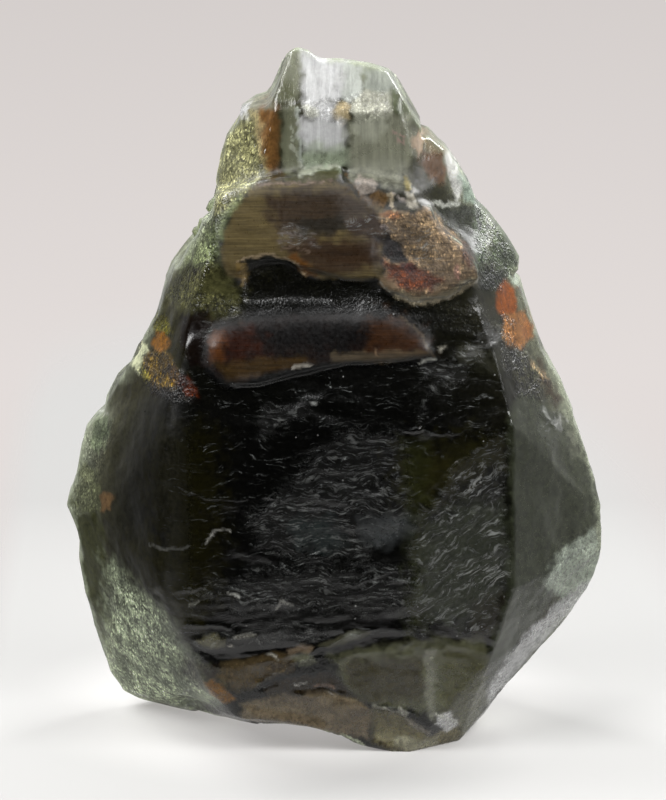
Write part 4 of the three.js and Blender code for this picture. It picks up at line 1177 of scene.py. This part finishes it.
def add_floor():
    """A white sheet that fades out, so that the backdrop shows behind it, painted darker towards the back, with
    a painted pool of light that glows around the stone's foot.
    """
    form = bmesh.new()
    bmesh.ops.create_grid(form, x_segments=1, y_segments=1, size=FLOOR_SIZE / 2)
    mesh = bpy.data.meshes.new("floor")
    form.to_mesh(mesh)
    form.free()
    floor = bpy.data.objects.new("floor", mesh)
    bpy.context.scene.collection.objects.link(floor)
    mesh.materials.append(bpy.data.materials.new("white_floor"))
    mesh.materials[0].use_nodes = True
    paper = mesh.materials[0].node_tree
    where = node_in(paper, "TexCoord", {}).outputs["Object"]
    apart = node_in(paper, "SeparateXYZ", {0: where}).outputs

    def ramp(value, ends, low=0.0, high=1.0, kind="SMOOTHSTEP"):
        """Goes from low to high as a value goes from the one end to the other."""
        inputs = {"Value": value, "From Min": ends[0], "From Max": ends[1], "To Min": low, "To Max": high}
        return node_in(paper, "MapRange", inputs, interpolation_type=kind).outputs["Result"]

    def outward(middle, half):
        """Distance from the middle of an oval, 1 at its edge."""
        shape = node_in(paper, "Mapping", {
            "Vector": where, "Location": (-middle[0] / half[0], -middle[1] / half[1], 0),
            "Scale": (1 / half[0], 1 / half[1], 1)})
        return node_in(paper, "VectorMath", {0: shape.outputs["Vector"]}, operation="LENGTH").outputs["Value"]

    def both(first, second):
        """The product of two values."""
        return node_in(paper, "Math", {0: first, 1: second}, operation="MULTIPLY").outputs[0]

    # painted shade: the sheet is darker towards the back
    painted_shade = ramp(apart["Y"], FLOOR_DEPTH, *FLOOR_PAINTED_SHADE, kind="LINEAR")
    white = node_in(paper, "VectorMath", {0: FLOOR_COLOUR, "Scale": painted_shade}, operation="SCALE").outputs[0]
    near = both(ramp(apart["Y"], FLOOR_FRONT), ramp(apart["X"], FLOOR_LEFT))
    # painted pool of light, glowing around the stone's foot
    painted_glow = ramp(outward(PAINTED_POOL_MIDDLE, PAINTED_POOL_HALF), PAINTED_POOL_EDGE, high=PAINTED_POOL_GLOW)
    for name, value in (("Base Color", white), ("Roughness", FLOOR_ROUGH), ("Emission Strength", painted_glow),
                        ("Alpha", both(near, ramp(outward(FLOOR_MIDDLE, FLOOR_HALF), FLOOR_EDGE))),
                        ("Emission Color", PAINTED_POOL_COLOUR)):
        feed(paper.nodes["Principled BSDF"].inputs[name], value)
    return floor


floor = add_floor()
print("a sheet", FLOOR_SIZE, "m wide that fades out")

# %% The tent of light
BACKDROP_TOP = -0.21
BACKDROP_FOOT = -0.27
BACKDROP_GREYS = (1.04, 1.2)
BACKDROP_COLOUR = (0.64, 0.60, 0.585, 1)
TENT_SIDE = (0.3, 0.35, 0.12)
TENT_MIDDLE = 0.26
TENT_LEAST = 0.02


def add_world():
    """A pale tent of light: bright behind and to the right, dark where the camera looks in."""
    world = bpy.data.worlds.new("light_tent")
    world.use_nodes = True
    bpy.context.scene.world = world
    sky = world.node_tree
    sky.nodes.clear()
    where = node_in(sky, "TexCoord", {}).outputs["Generated"]
    towards = node_in(sky, "VectorMath", {0: where, 1: TENT_SIDE}, operation="DOT_PRODUCT").outputs["Value"]
    ramp = node_in(sky, "Math", {0: towards, 1: TENT_MIDDLE}, operation="ADD").outputs[0]
    least = node_in(sky, "Math", {0: ramp, 1: TENT_LEAST}, operation="MAXIMUM").outputs[0]
    tent = node_in(sky, "Background", {"Strength": least})
    height = node_in(sky, "SeparateXYZ", {0: where}).outputs["Z"]
    down = node_in(sky, "MapRange", {
        "Value": height, "From Min": BACKDROP_TOP, "From Max": BACKDROP_FOOT,
        "To Min": BACKDROP_GREYS[0], "To Max": BACKDROP_GREYS[1]}).outputs["Result"]
    seen = node_in(sky, "Background", {"Color": BACKDROP_COLOUR, "Strength": down})
    eye = node_in(sky, "LightPath", {}).outputs["Is Camera Ray"]
    mix = node_in(sky, "MixShader", {0: eye, 1: tent.outputs[0], 2: seen.outputs[0]})
    node_in(sky, "OutputWorld", {"Surface": mix.outputs[0]})


add_world()
print("the tent is brightest towards", TENT_SIDE)

# %% Four soft lights
LIGHTS = [
    # name, place in millimetres, size in millimetres, power in watts
    ("front_left", (-150, -105, 190), 150, 0.72), ("front_right", (155, -105, 180), 150, 0.64),
    ("back_left", (-120, 80, 190), 110, 0.6), ("back_right", (120, 110, 130), 110, 0.5),
]


def add_light(name, spot, size, power):
    """A square soft light at a place in millimetres, turned to the stone."""
    data = bpy.data.lights.new(name, "AREA")
    data.size = size * MM
    data.energy = power
    light = bpy.data.objects.new(name, data)
    light.location = Vector(spot) * MM
    light.rotation_euler = (Vector(spot) - AIM).to_track_quat("Z", "Y").to_euler()
    bpy.context.scene.collection.objects.link(light)
    return light


for name, spot, size, power in LIGHTS:
    add_light(name, spot, size, power)
bpy.context.scene.view_settings.view_transform = "Standard"
print(len(LIGHTS), "lights, turned to the stone")
